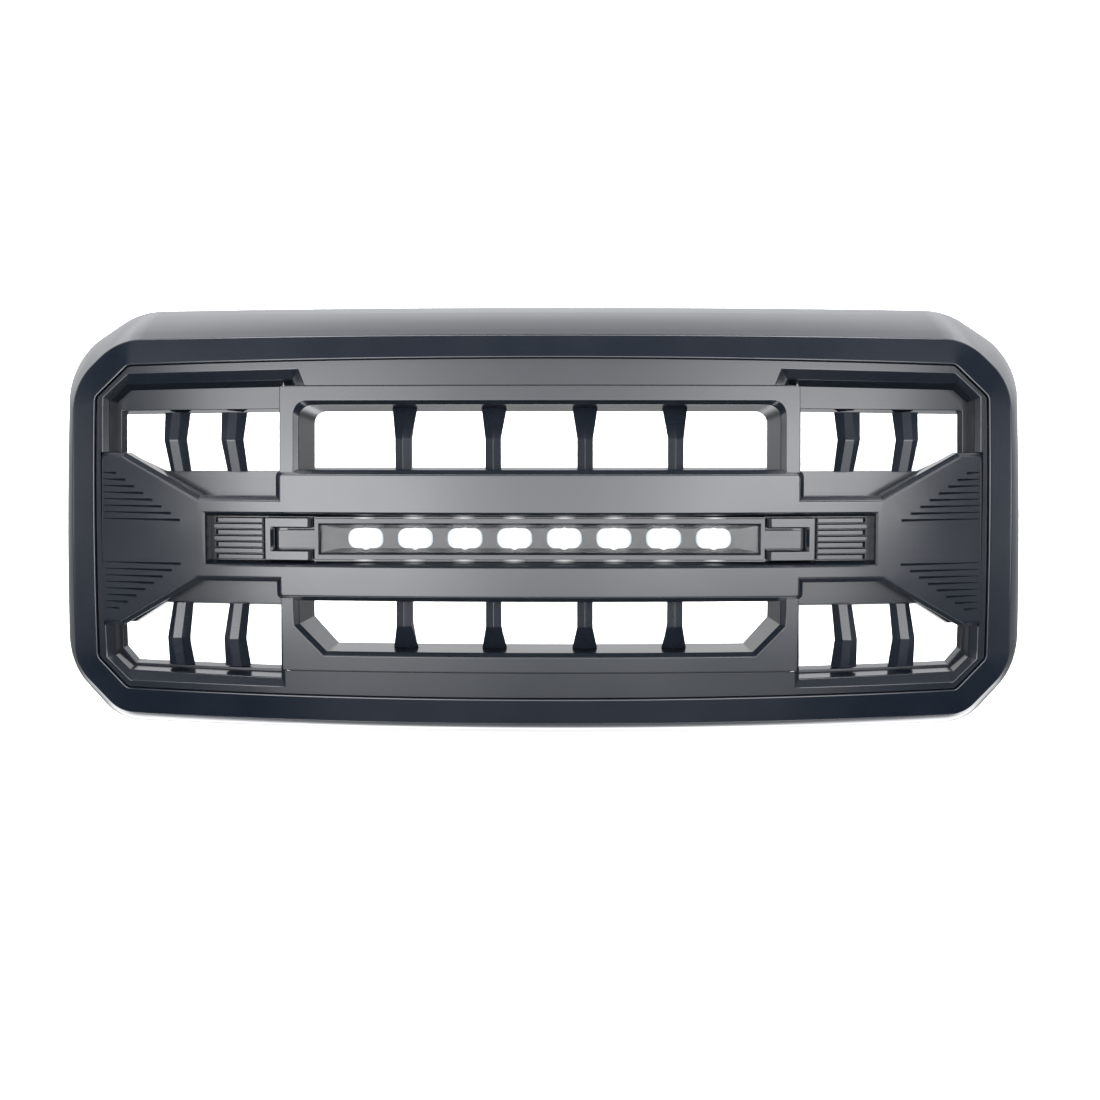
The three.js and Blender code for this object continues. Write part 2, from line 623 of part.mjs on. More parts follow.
function bowTieBar() {
  const outline = symmetric(BAR_OUTLINE_RIGHT);
  const rear = BAR_DEPTH + OVERSHOOT;
  const hollow = cut(prism(outset(outline, -WALL), WALL + 0.2, rear), channelLoft(WALL));
  const boss = join(
    roundAlongY(LAMP_BOSS.radius, WALL, LAMP_BOSS.rear, LAMP_BOSS.x, LAMP_BOSS.z),
    roundAlongY(LAMP_BOSS.radius, WALL, LAMP_BOSS.rear, -LAMP_BOSS.x, LAMP_BOSS.z),
  );
  const bossHoles = [LAMP_BOSS.x, -LAMP_BOSS.x].map((x) =>
    roundAlongY(SCREW.hole, BAR_DEPTH - 4, LAMP_BOSS.rear + OVERSHOOT, x, LAMP_BOSS.z));
  const grooves = [...ribGrooves(UPPER_RIBS, -1), ...ribGrooves(LOWER_RIBS, 1)].flatMap(bothSides);
  const shell = cut(prism(outline, 0, BAR_DEPTH), hollow, channelLoft(0), ...grooves);
  return bend(cut(join(shell, boss, ...bothSides(channelBack())), ...bossHoles));
}

// Centre frame: a face plate round the window, a tapered duct behind it, a skirt round its outer edge,
// and a flange that laps behind the insert panel
function centreFrame({ bottom, top, flangeZ, flangeHalf, windowFront, windowRear }) {
  const middle = (bottom + top) / 2;
  const outer = rectangle(FRAME_HALF_WIDTH, (top - bottom) / 2, 0, middle);
  const rear = FRAME_DUCT_REAR;
  const faceRear = FRAME_FRONT + FRAME_FACE;
  const front = symmetric(windowFront);
  const back = symmetric(windowRear);
  const duct = loft([
    { outline: outset(front, WALL), y: faceRear - 1 },
    { outline: outset(back, WALL), y: rear },
  ]);
  const space = loft([
    { outline: front, y: FRAME_FRONT - OVERSHOOT },
    { outline: front, y: FRAME_FRONT },
    { outline: back, y: rear },
    { outline: back, y: rear + OVERSHOOT },
  ]);
  const skirt = cut(prism(outer, faceRear - 1, FRAME_SKIRT_REAR), prism(outset(outer, -WALL), 0, rear));
  const lap = FRAME_FLANGE;
  const flange = box(-flangeHalf, flangeHalf, lap.front, lap.rear, flangeZ - lap.reach, flangeZ + lap.reach);
  return bend(cut(join(prism(outer, FRAME_FRONT, faceRear), duct, skirt, flange), space));
}

// Height of the duct's inner top or bottom wall at a given depth
function ductWall(frame, pick, y) {
  const part = (y - FRAME_FRONT) / (FRAME_DUCT_REAR - FRAME_FRONT);
  const edges = [frame.windowFront, frame.windowRear];
  const [front, rear] = edges.map((points) => pick(...points.map(([, z]) => z)));
  return THREE.MathUtils.lerp(front, rear, part);
}

// A fin is a loft of plan sections stacked in z, each a closed [x, y] outline; heights may depend on y
function stackedFin(levels) {
  const rings = levels.map(({ plan, z }) => plan.map(([x, y]) => [x, y, typeof z === 'function' ? z(y) : z]));
  const positions = [];
  for (let s = 0; s + 1 < rings.length; s += 1) {
    rings[s].forEach((point, i) => {
      const j = (i + 1) % rings[s].length;
      positions.push(...point, ...rings[s][j], ...rings[s + 1][i]);
      positions.push(...rings[s][j], ...rings[s + 1][j], ...rings[s + 1][i]);
    });
  }
  const [low, high] = [rings[0], rings.at(-1)];
  for (let i = 1; i + 1 < low.length; i += 1) {
    positions.push(...low[0], ...low[i + 1], ...low[i], ...high[0], ...high[i], ...high[i + 1]);
  }
  return facing(positions);
}

// Six-sided plan of a duct fin, with a ridge down the middle of its front
function ductFinPlan(width, front) {
  const half = width / 2;
  const back = half * DUCT_FIN.backTaper;
  const { ridge, rear } = DUCT_FIN;
  return [[0, front], [half, front + ridge], [back, rear], [-back, rear], [-half, front + ridge]];
}

function ductFin(frame, creaseZ, x, isUpper) {
  const topZ = (y) => ductWall(frame, Math.max, y) - DUCT_FIN_GAP;
  const bottomZ = (y) => ductWall(frame, Math.min, y) + DUCT_FIN_GAP;
  const end = ductFinPlan(DUCT_FIN.endWidth, DUCT_FIN.endFront);
  const crease = ductFinPlan(DUCT_FIN.bodyWidth, DUCT_FIN.creaseFront);
  const bar = ductFinPlan(DUCT_FIN.bodyWidth, DUCT_FIN.barFront);
  const [low, high] = isUpper ? [bar, end] : [end, bar];
  const levels = [{ plan: low, z: bottomZ }, { plan: crease, z: creaseZ }, { plan: high, z: topZ }];
  return bend(stackedFin(levels).translate(x, 0, 0));
}

// Six-sided plan of a side fin: a narrow flat nose between two shoulders
function sideFinPlan(width, front, shift) {
  const { noseWidth, shoulder, rear, backWidth } = SIDE_FIN;
  const halves = [[noseWidth / 2, front], [width / 2, front + shoulder], [backWidth / 2, rear]];
  return [...halves, ...mirrored(halves)].map(([x, y]) => [x + shift, y]);
}

function sideFin({ end, crease, bar }, x) {
  const levels = [
    { plan: sideFinPlan(SIDE_FIN.endWidth, SIDE_FIN.endFront, 0), z: end },
    { plan: sideFinPlan(SIDE_FIN.bodyWidth, SIDE_FIN.creaseFront, 0), z: crease },
    { plan: sideFinPlan(SIDE_FIN.barWidth, SIDE_FIN.barFront, -SIDE_FIN.lean), z: bar },
  ];
  const stacked = stackedFin(end > bar ? levels.toReversed() : levels);
  return stacked.translate(x, faceDepth(x, crease), 0);
}

// C-shaped trim: hollow from the rear, open towards the light bar's tongue
function channelTrim() {
  const { inner, outer, notch, halfHeight, notchHalf, front, rear } = TRIM;
  const outline = [
    [inner, -halfHeight], [outer, -halfHeight], [outer, halfHeight], [inner, halfHeight],
    [inner, notchHalf], [notch, notchHalf], [notch, -notchHalf], [inner, -notchHalf],
  ].map(([x, z]) => [x, z + CHANNEL_CENTRE_Z]);
  return bend(cut(prism(outline, front, rear), prism(outset(outline, -WALL + 0.5), front + WALL, rear + 1)));
}

function louvre() {
  const { inner, outerShort, outerLong, front, base, rear, slats, pitch, slat } = LOUVRE;
  const [bottom, top] = [CHANNEL_CENTRE_Z - TRIM.halfHeight, CHANNEL_CENTRE_Z + TRIM.halfHeight];
  const plate = box(inner, outerLong, base, rear, bottom, top);
  const bars = Array.from({ length: slats }, (_, i) => {
    const z = CHANNEL_CENTRE_Z + ((slats - 1) / 2 - i) * pitch;
    const outer = i % 2 === 0 ? outerShort : outerLong;
    return box(inner, outer, front, base + 1, z - slat / 2, z + slat / 2);
  });
  return bend(join(plate, ...bars));
}

// ---------------------------------------------------------------- the light bar

const lampPlate = (halfWidth, halfHeight, front, rear) =>
  prism(rectangle(halfWidth, halfHeight, 0, LAMP_Z), front, rear);

function lampBezel() {
  const { halfWidth, halfHeight, rear, seat, windowWidth, windowHeight } = BEZEL;
  const body = join(
    lampPlate(halfWidth, halfHeight, LAMP_FRONT, rear),
    lampPlate(halfWidth, BEZEL_FLANGE.halfHeight, BEZEL_FLANGE.front, rear),
    lampPlate(TONGUE.outer, TONGUE.halfHeight, LAMP_FRONT, LAMP_FRONT + TONGUE.thickness),
  );
  const window = loft([
    { outline: rectangle(windowWidth, windowHeight, 0, LAMP_Z), y: LAMP_FRONT - OVERSHOOT },
    { outline: rectangle(windowWidth, windowHeight, 0, LAMP_Z), y: LAMP_FRONT },
    { outline: rectangle(BEZEL_THROAT.halfWidth, BEZEL_THROAT.halfHeight, 0, LAMP_Z), y: seat },
    { outline: rectangle(BEZEL_THROAT.halfWidth, BEZEL_THROAT.halfHeight, 0, LAMP_Z), y: seat + OVERSHOOT },
  ]);
  const pocket = lampPlate(BEZEL_POCKET.halfWidth, BEZEL_POCKET.halfHeight, seat, rear + OVERSHOOT);
  return cut(body, window, pocket);
}

function lensGasket() {
  const { front, rear, innerHalfWidth, innerHalfHeight } = GASKET;
  return cut(
    lampPlate(LENS.halfWidth, LENS.halfHeight, front, rear),
    lampPlate(innerHalfWidth, innerHalfHeight, front - OVERSHOOT, rear + OVERSHOOT),
  );
}

const opticPlaces = Array.from({ length: OPTIC_COUNT }, (_, i) => (i - (OPTIC_COUNT - 1) / 2) * OPTIC_PITCH);

// Rounded oval lens over one LED, with a small nub at its top and bottom
function optic(x, clearance, front, rear) {
  const { halfWidth, halfHeight, radius, nubHalf, nubHeight } = OPTIC;
  const corners = rectangle(halfWidth + clearance, halfHeight + clearance, x, LAMP_Z);
  const oval = roundCorners(corners, Array(4).fill(radius));
  return join(
    prism(oval, front, rear),
    prism(rectangle(nubHalf + clearance, nubHeight + clearance, x, LAMP_Z), front, rear),
  );
}

function reflector() {
  const r = REFLECTOR;
  const rim = rectangle(r.rimHalfWidth, r.rimHalfHeight, 0, LAMP_Z);
  const floor = rectangle(r.floorHalfWidth, r.floorHalfHeight, 0, LAMP_Z);
  const tray = loft([
    { outline: outset(rim, r.skin), y: r.front },
    { outline: outset(floor, r.skin), y: r.floor },
    { outline: outset(floor, r.skin), y: r.rear },
  ]);
  const flange = lampPlate(r.flangeHalfWidth, r.flangeHalfHeight, r.front, r.front + r.flange);
  const space = loft([
    { outline: rim, y: r.front - OVERSHOOT },
    { outline: rim, y: r.front },
    { outline: floor, y: r.floor },
  ]);
  const openings = opticPlaces.map((x) => optic(x, OPTIC_CLEARANCE, OPTIC.front - 1, r.rear + OVERSHOOT));
  return cut(join(tray, flange), space, ...openings);
}

function ledBoard() {
  const { halfWidth, halfHeight, front, rear, chip, chipFront } = BOARD;
  const chips = opticPlaces.map((x) =>
    prism(rectangle(chip / 2, chip / 2, x, LAMP_Z), chipFront, (front + rear) / 2));
  return join(lampPlate(halfWidth, halfHeight, front, rear), ...chips);
}

// Extruded trough with cooling fins along its back; the section is a list of [y, z]
function lampHousing() {
  const { halfWidth, halfHeight, front, floor, finRoot, rear, fins, fin } = HOUSING;
  const pitch = (2 * halfHeight - fin) / (fins - 1);
  const section = [[front, halfHeight], [front, halfHeight - WALL], [floor, halfHeight - WALL]];
  section.push([floor, WALL - halfHeight], [front, WALL - halfHeight], [front, -halfHeight]);
  for (let i = 0; i < fins; i += 1) {
    const low = -halfHeight + i * pitch;
    if (i > 0) section.push([finRoot, low]);
    section.push([rear, low], [rear, low + fin]);
    if (i < fins - 1) section.push([finRoot, low + fin]);
  }
  return barAlongX(section, -halfWidth, halfWidth).translate(0, 0, LAMP_Z);
}

function endCap() {
  const { inner, outer, front, rear } = END_CAP;
  const plate = box(inner, outer, front, rear, LAMP_Z - HOUSING.halfHeight, LAMP_Z + HOUSING.halfHeight);
  return cut(plate, roundAlongX(SCREW.hole, inner - 1, outer + 1, CAP_SCREW.y, CAP_SCREW.z));
}

function cableGland() {
  const start = END_CAP.outer + SEAT_GAP;
  const { collarRadius, collarLength, radius, length } = GLAND;
  return join(
    roundAlongX(collarRadius, start, start + collarLength, CAP_FITTING.y, CAP_FITTING.z),
    roundAlongX(radius, start + collarLength - 1, start + length, CAP_FITTING.y, CAP_FITTING.z),
  );
}

function breatherPlug() {
  const start = END_CAP.outer + SEAT_GAP;
  return roundAlongX(BREATHER.radius, start, start + BREATHER.length, CAP_FITTING.y, CAP_FITTING.z);
}

// ---------------------------------------------------------------- brackets and screws

function lampBracket() {
  const { inner, outer, front, rear, bottom, top } = LAMP_BRACKET;
  const angle = join(
    box(inner, inner + SHEET, front, rear, bottom, top),
    box(inner, outer, rear - SHEET, rear, bottom, top),
  );
  return cut(
    angle,
    roundAlongX(SCREW.hole, inner - 1, inner + 2 * SHEET, CAP_SCREW.y, CAP_SCREW.z),
    roundAlongY(SCREW.hole, rear - 2 * SHEET, rear + 1, LAMP_BOSS.x, LAMP_BOSS.z),
  );
}

function screwAlongY(x, z, tip, seat) {
  return join(
    roundAlongY(SCREW.shank, tip, seat + 1, x, z),
    roundAlongY(SCREW.head, seat, seat + SCREW.headHeight, x, z),
  );
}

function capScrew() {
  const seat = LAMP_BRACKET.inner + SHEET + SEAT_GAP;
  return join(
    roundAlongX(SCREW.shank, END_CAP.inner, seat + 1, CAP_SCREW.y, CAP_SCREW.z),
    roundAlongX(SCREW.head, seat, seat + SCREW.headHeight, CAP_SCREW.y, CAP_SCREW.z),
  );
}

// Steel strap folded twice: a foot on the insert's pad, an arm to the rear and a drilled tab
function mountBracket({ x, z, depth, sign }) {
  const foot = depth + PAD_REAR + SEAT_GAP;
  const { width, height, reach, holeRadius } = MOUNT_TAB;
  const fold = z + sign * PAD_HALF;
  const strap = join(
    box(x - width / 2, x + width / 2, foot, foot + SHEET, z - PAD_HALF, z + PAD_HALF),
    sideBox(x, width, foot, reach, fold, sign * SHEET),
    sideBox(x, width, reach - SHEET, reach, fold, sign * height),
  );
  return cut(
    strap,
    roundAlongY(SCREW.hole, foot - 1, foot + 2 * SHEET, x, z),
    roundAlongY(holeRadius, reach - 2 * SHEET, reach + 1, x, fold + (sign * height) / 2),
  );
}

function sideBox(x, width, y0, y1, z, height) {
  const overlap = Math.sign(height) * 0.5;
  const [low, high] = [z - overlap, z + height].sort((a, b) => a - b);
  return box(x - width / 2, x + width / 2, y0, y1, low, high);
}

// ---------------------------------------------------------------- put together

add('surround_shell', surround(), 'shell');
add('insert_panel', insertPanel(), 'panel');
add('bow_tie_bar', bowTieBar(), 'bar');
add('centre_frame_upper', centreFrame(UPPER_FRAME), 'panel');
add('centre_frame_lower', centreFrame(LOWER_FRAME), 'panel');
addPair('channel_trim', channelTrim(), 'bar');
addPair('louvre', louvre(), 'bar');

DUCT_FIN_X.forEach((x, i) => {
  addPair(`duct_fin_upper_${i + 1}`, ductFin(UPPER_FRAME, DUCT_CREASE_Z.upper, x, true), 'fin');
  addPair(`duct_fin_lower_${i + 1}`, ductFin(LOWER_FRAME, DUCT_CREASE_Z.lower, x, false), 'fin');
});
SIDE_FIN_X.forEach((x, i) => {
  addPair(`side_fin_upper_${i + 1}`, sideFin(SIDE_FIN_SPANS.upper, x), 'fin');
  addPair(`side_fin_lower_${i + 1}`, sideFin(SIDE_FIN_SPANS.lower, x), 'fin');
});

add('lamp_bezel', lampBezel(), 'lamp');
add('lamp_lens', lampPlate(LENS.halfWidth, LENS.halfHeight, LENS.front, LENS.rear), 'lens');
add('lens_gasket', lensGasket(), 'rubber');
add('lamp_reflector', reflector(), 'reflector');
add('led_board', ledBoard(), 'board');
add('lamp_housing', lampHousing(), 'aluminium');
opticPlaces.forEach((x, i) => add(`led_optic_${i + 1}`, optic(x, 0, OPTIC.front, OPTIC.rear), 'optic'));
addPair('lamp_end_cap', endCap(), 'lamp');
add('cable_gland', cableGland(), 'rubber');
add('breather_plug', mirrorX(breatherPlug()), 'rubber');

addPair('lamp_bracket', lampBracket(), 'steel');
addPair('lamp_cap_screw', capScrew(), 'steel');
addPair(
  'lamp_boss_screw',
  screwAlongY(LAMP_BOSS.x, LAMP_BOSS.z, LAMP_BOSS.screwTip, LAMP_BRACKET.rear + SEAT_GAP),
  'steel',
);

for (const place of shellScrewPlaces()) {
  const side = ['left', 'centre', 'right'][Math.sign(place.x) + 1];
  const strap = place.x === 0 ? 0 : SHEET + SEAT_GAP;
  const seat = place.depth + PAD_REAR + strap + SEAT_GAP;
  const tip = place.depth + SHELL_BOSS.holeFront + 1;
  add(`shell_screw_${place.name}_${side}`, screwAlongY(place.x, place.z, tip, seat), 'steel');
  if (place.x !== 0) add(`mount_bracket_${place.name}_${side}`, mountBracket(place), 'steel');
}

// The origin is the middle of the whole grille's box
const box3 = new THREE.Box3().setFromObject(grille, true);
grille.position.copy(box3.getCenter(new THREE.Vector3()).negate());
grille.updateMatrixWorld(true);

export default grille;
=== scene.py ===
import math

import bmesh
import bpy
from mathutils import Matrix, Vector


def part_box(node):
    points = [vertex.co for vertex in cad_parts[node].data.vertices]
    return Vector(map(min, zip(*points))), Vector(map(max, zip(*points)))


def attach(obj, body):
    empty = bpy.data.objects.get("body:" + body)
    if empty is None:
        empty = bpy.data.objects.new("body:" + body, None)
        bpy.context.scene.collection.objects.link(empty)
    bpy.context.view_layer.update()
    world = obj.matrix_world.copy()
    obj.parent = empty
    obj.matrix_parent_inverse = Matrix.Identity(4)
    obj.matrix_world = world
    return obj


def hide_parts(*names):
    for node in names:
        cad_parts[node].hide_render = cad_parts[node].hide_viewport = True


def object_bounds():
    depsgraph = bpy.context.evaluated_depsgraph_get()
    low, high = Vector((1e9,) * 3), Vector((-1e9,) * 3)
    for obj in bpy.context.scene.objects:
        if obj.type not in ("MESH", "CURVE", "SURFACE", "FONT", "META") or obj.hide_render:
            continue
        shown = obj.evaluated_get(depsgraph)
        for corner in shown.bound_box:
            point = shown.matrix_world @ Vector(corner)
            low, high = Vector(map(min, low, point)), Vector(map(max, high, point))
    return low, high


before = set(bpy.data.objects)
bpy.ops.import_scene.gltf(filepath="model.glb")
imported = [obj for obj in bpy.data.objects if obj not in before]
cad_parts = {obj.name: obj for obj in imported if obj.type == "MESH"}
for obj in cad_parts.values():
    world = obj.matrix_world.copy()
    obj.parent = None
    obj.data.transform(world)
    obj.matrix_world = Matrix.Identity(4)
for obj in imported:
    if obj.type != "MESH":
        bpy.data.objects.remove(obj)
cad_low, cad_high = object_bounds()

# ---------------------------------------------------------------- the grille's drawing, millimetres
# Drawn flat as the CAD is: x to the viewer's right, z up, y the depth behind the face of the centre bars.

BOW_RADIUS = 2600
CROWN_RADIUS = 1840
CROWN_CENTRE_Z = -17
SETTLE = 0.5
CELL = 24
FILLET_STEPS = 4
ARC_STEPS = 8
CROWN_STEPS = 16
WALL = 3

# The three edges of the surround, from the inner lip over the front band to the rear rim
LIP = {
    "side_top": 570.5, "side_bottom": 573.5, "top": 195.8, "bottom": -218.8,
    "crown_top": 7, "crown_bottom": 5,
    "corner_top": (43.5, 40.2), "corner_bottom": (38.8, 39.6), "radii": (12, 12, 10, 10),
}
BAND = {
    "side_top": 603.5, "side_bottom": 608, "top": 228.6, "bottom": -252.3,
    "crown_top": 3.5, "crown_bottom": 5.5,
    "corner_top": (59, 55), "corner_bottom": (58, 58), "radii": (46, 55, 80, 80),
}
RIM = {
    "side_top": 632, "side_bottom": 636.5, "top": 271.7, "bottom": -270.2,
    "crown_top": 0.4, "crown_bottom": 2,
    "corner_top": (98.5, 60.1), "corner_bottom": (75, 77), "radii": (69, 105, 84, 108),
}
RIM_DEPTH_TOP = 105
RIM_DEPTH_SIDE = 75
RIM_DEPTH_BOTTOM = 65
RIM_BLEND_START = 110
RIM_BLEND_HEIGHT = 120
LIP_FRONT = 0.8
LIP_REAR = 7
BAND_DEPTH = 9
LIP_FILLET = 3.0
BAND_FILLET = 2.2
RIM_FILLETS = (1.4, 1.2)
SLOPE_BULGE = 2.4
SLOPE_STEPS = 8

FIELD_FRONT = 6
STEP_DEPTH = 14
FLOOR_DEPTH = 34
WINDOW_REAR = 46
FLANGE_DEPTH = 18
FLANGE_WIDTH = 22
WEB = {"inner": 320, "side": 563, "bottom": -140, "top": 90, "wall_bottom": -150, "wall_top": 120}
INSERT_CUT_REAR = 60
CENTRE_CUT_HALF = 328
CENTRE_GAP = 0.8
CHANNEL_CUT = {"half_width": 428, "bottom": -60, "top": 14}
UPPER_POCKET = {
    "field": [(294.5, 20), (561, 20), (561, 155.5), (527.5, 185.2), (302.3, 189.8), (294.5, 170)],
    "step": [(311, 20), (554.4, 20), (554.4, 152), (530.5, 172.8), (311, 176.5), (308, 170)],
    "floor": [(318, 20), (549.6, 20), (549.6, 149), (531, 165), (318, 168.7), (316, 160)],
    "front": [(331, 61.5), (484, 61.5), (527, 79.8), (543.5, 79.8), (543.5, 139), (331, 140.8)],
    "rear": [(331, 61.7), (484.5, 61.7), (527, 80), (539.4, 80), (539.4, 134), (331, 136.4)],
}
LOWER_POCKET = {
    "field": [(323.5, -212), (531.5, -209.5), (562.5, -180), (562.5, -70), (323.5, -70)],
    "step": [(330, -201.5), (533.5, -196.8), (552.5, -178.5), (552.5, -70), (327, -70)],
    "floor": [(330, -196.5), (532, -193), (549.6, -176), (549.6, -70), (327, -70)],
    "front": [
        (331, -193.5), (530, -190.5), (547, -171), (547, -135.5), (529, -135.5), (486, -108.5), (331, -108.5),
    ],
    "rear": [
        (331, -190), (528.7, -187), (544.5, -169), (544.5, -137), (528, -137), (487, -111.1), (331, -111.1),
    ],
}

BAR_DEPTH = 32
BAR_OUTLINE = [
    (325.2, -94.5), (325.2, -71.5), (434.8, -71.5), (539.5, -131.2), (563, -131.2),
    (560, 79.2), (531.5, 79.2), (430.5, 24.7), (325.2, 24.7), (325.2, 57.8),
]
BAR_CORNER = 3
BAR_FLARE = 6
BAR_END = 563.6
BAR_SPACE = {"outset": 0.5, "end": 564.2, "depth": 1.4}
CHANNEL_Z = -23.4
CHANNEL = [(-1, 426.8, 35.5), (0, 426, 34.7), (3.4, 423, 31.8), (22, 420.5, 28), (33, 420.5, 28)]
RIB_COUNT = 8
RIB_PITCH = 8.4
RIB_FIRST_INNER_X = 541
RIB_INNER_STEP = 12.2
RIB_OUTER_X = 558
RIB_INNER_END = {"depth": 4.4, "height": 3.4}
RIB_OUTER_END = {"depth": 1.4, "height": 1.1}
UPPER_RIBS_Z = 60.5
LOWER_RIBS_Z = -113
CHANNEL_BACK = {"inner": 285, "outer": 423, "front": 25.2, "rear": 27.7, "half_height": 30}

FRAME_HALF = 326
FRAME_FRONT = 4
FRAME_REAR = 80
FRAME_SKIRT = 33
FRAME_BEVEL = 7.2
FRAME_FLANGE = {"front": 14.5, "rear": 17.5, "reach": 4}
FRAME_STOP = {"front": 24, "rear": 27, "reach": 1.8, "beyond": 10}
UPPER_FRAME = {
    "bottom": 58.5, "top": 168.7, "arc": (17, 15), "flange": (303, 168.7),
    "front": [(308.5, 60.2), (308.5, 150.4)],
    "bevel": [(302, 64.4), (302, 145)],
    "rear": [(293, 65.7), (293, 137.6)],
}
LOWER_FRAME = {
    "bottom": -190.5, "top": -95.2, "arc": (0, 0), "flange": (318, -190.5),
    "front": [(272.2, -171), (310, -132.6), (310, -97.2)],
    "bevel": [(269.4, -165.6), (303.6, -131), (303.6, -101.4)],
    "rear": [(264.2, -163.3), (295.6, -128.4), (295.6, -106.8)],
}

# Upright fins, each a stack of plan sections; "end" is the wide one at the duct's or window's far wall
DUCT_FIN_X = (57.6, 171.4)
DUCT_FIN = {"end": (33, 46), "crease": (20, 22), "bar": (20, 26), "ridge": 5, "rear": 72, "back_taper": 0.75}
DUCT_CREASE_Z = {"upper": 103, "lower": -135}
SIDE_FIN_X = (391, 467)
SIDE_FIN = {
    "end": (34, 30, 0), "crease": (29, 14, 0), "bar": (26, 20, -5),
    "nose": 5.5, "shoulder": 9, "back_half": 10, "rear": 45,
}
SIDE_FIN_SPANS = (("upper", 136.4, 101, 61), ("lower", -190.5, -153, -108))

# C-shaped trims and louvres that close the ends of the channel
TRIM = {"inner": 286.3, "outer": 346.8, "notch": 335.6, "half": 27.2, "notch_half": 13.9}
TRIM_DEPTHS = {"face": 8, "chamfer": 12.1, "hollow": 14.5, "rear": 20}
TRIM_FACE_INSET = {"inner": 4.5, "outer": 1.2, "edge": 1, "notch": 3.6, "notch_edge": 1.6}
LOUVRE = {
    "inner": 350.6, "short": 408.8, "long": 414.1, "half": 27.2, "front": 14, "base": 21.5, "rear": 24,
    "slats": 7, "pitch": 7.75, "tip_half": 2.65, "root_half": 3.85,
}

# Light bar, straight, so its depths do not follow the bow
LAMP_Z = -23.2
LED_COUNT = 8
LED_PITCH = 62.9
BEZEL_HALF = 282.9
BEZEL_SEAT = 30
BEZEL_REAR = 40
OPTIC_SHAPE = {"half_width": 22, "half_height": 12.2, "radius": 10.5, "arc_steps": 8}

# ---------------------------------------------------------------- flat outlines, lists of (x, z)


def mirrored(points):
    return [(-x, z) for x, z in reversed(points)]


def symmetric(right):
    return list(right) + mirrored(right)


def rectangle(half_width, half_height, x=0, z=0):
    return [
        (x - half_width, z - half_height), (x + half_width, z - half_height),
        (x + half_width, z + half_height), (x - half_width, z + half_height),
    ]


def round_corners(points, radii, steps=ARC_STEPS):
    """Replaces the corner at points[i] by an arc of radii[i]; a radius of 0 keeps the corner."""
    result = []
    for i, point in enumerate(points):
        if not radii[i]:
            result.append(point)
            continue
        corner = Vector(point)
        back = (Vector(points[i - 1]) - corner).normalized()
        ahead = (Vector(points[(i + 1) % len(points)]) - corner).normalized()
        half_angle = math.acos(back.dot(ahead)) / 2
        centre = corner + (back + ahead).normalized() * radii[i] / math.sin(half_angle)
        start = corner + back * radii[i] / math.tan(half_angle) - centre
        end = corner + ahead * radii[i] / math.tan(half_angle) - centre
        sweep = math.atan2(start.x * end.y - start.y * end.x, start.dot(end))
        for step in range(steps + 1):
            angle = sweep * step / steps
            c, s = math.cos(angle), math.sin(angle)
            result.append((centre.x + start.x * c - start.y * s, centre.y + start.x * s + start.y * c))
    return result


def eased(points, radius, steps=3):
    """Rounds the outward corners of a counter-clockwise outline; the inward ones stay sharp."""
    radii = []
    for i, point in enumerate(points):
        before = Vector(point) - Vector(points[i - 1])
        after = Vector(points[(i + 1) % len(points)]) - Vector(point)
        radii.append(radius if before.x * after.y - before.y * after.x > 0 else 0)
    return round_corners(points, radii, steps)


def outset(points, distance):
    """Moves every edge of a counter-clockwise outline outward, or inward if the distance is negative."""
    result = []
    for i, point in enumerate(points):
        here = Vector(point)
        before = (here - Vector(points[i - 1])).normalized()
        after = (Vector(points[(i + 1) % len(points)]) - here).normalized()
        miter = Vector((before.y + after.y, -before.x - after.x)).normalized()
        scale = distance / (miter.x * before.y - miter.y * before.x)
        result.append((here.x + miter.x * scale, here.y + miter.y * scale))
    return result


def within(points, half_width):
    """Keeps an outline between two upright lines."""
    return [(min(max(x, -half_width), half_width), z) for x, z in points]


def edge_loop(edge):
    """One edge of the surround: crowned top and bottom edges joined by chamfered and rounded corners."""
    bottom_x = edge["side_bottom"] - edge["corner_bottom"][0]
    top_x = edge["side_top"] - edge["corner_top"][0]
    top, bottom = edge["top"], edge["bottom"]
    parts = [i / CROWN_STEPS for i in range(1, CROWN_STEPS)]
    right = [(bottom_x * p, bottom - edge["crown_bottom"] * (1 - p * p)) for p in parts]
    right += [(bottom_x, bottom), (edge["side_bottom"], bottom + edge["corner_bottom"][1])]
    right += [(edge["side_top"], top - edge["corner_top"][1]), (top_x, top)]
    right += [(top_x * p, top + edge["crown_top"] * (1 - p * p)) for p in reversed(parts)]
    straight = [0] * (CROWN_STEPS - 1)
    radii = straight + list(edge["radii"]) + straight
    points = right + [(0, top + edge["crown_top"])] + mirrored(right) + [(0, bottom - edge["crown_bottom"])]
    return round_corners(points, radii + [0] + radii[::-1] + [0])


# ---------------------------------------------------------------- closed solids from rings of points


def crown_depth(z):
    return (z - CROWN_CENTRE_Z) ** 2 / (2 * CROWN_RADIUS)


def face_depth(x, z):
    return BOW_RADIUS - math.sqrt(BOW_RADIUS**2 - x * x) + crown_depth(z) + SETTLE


def ring(outline, y):
    """An outline at a depth, which may be a number or a function of x and z."""
    return [Vector((x, y(x, z) if callable(y) else y, z)) for x, z in outline]


def toward(here, there, length):
    """The ring `here` moved towards the ring `there` by about that length."""
    gaps = sorted((b - a).length for a, b in zip(here, there))
    part = min(length / max(gaps[len(gaps) // 2], 1e-6), 0.49)
    return [a.lerp(b, part) for a, b in zip(here, there)]


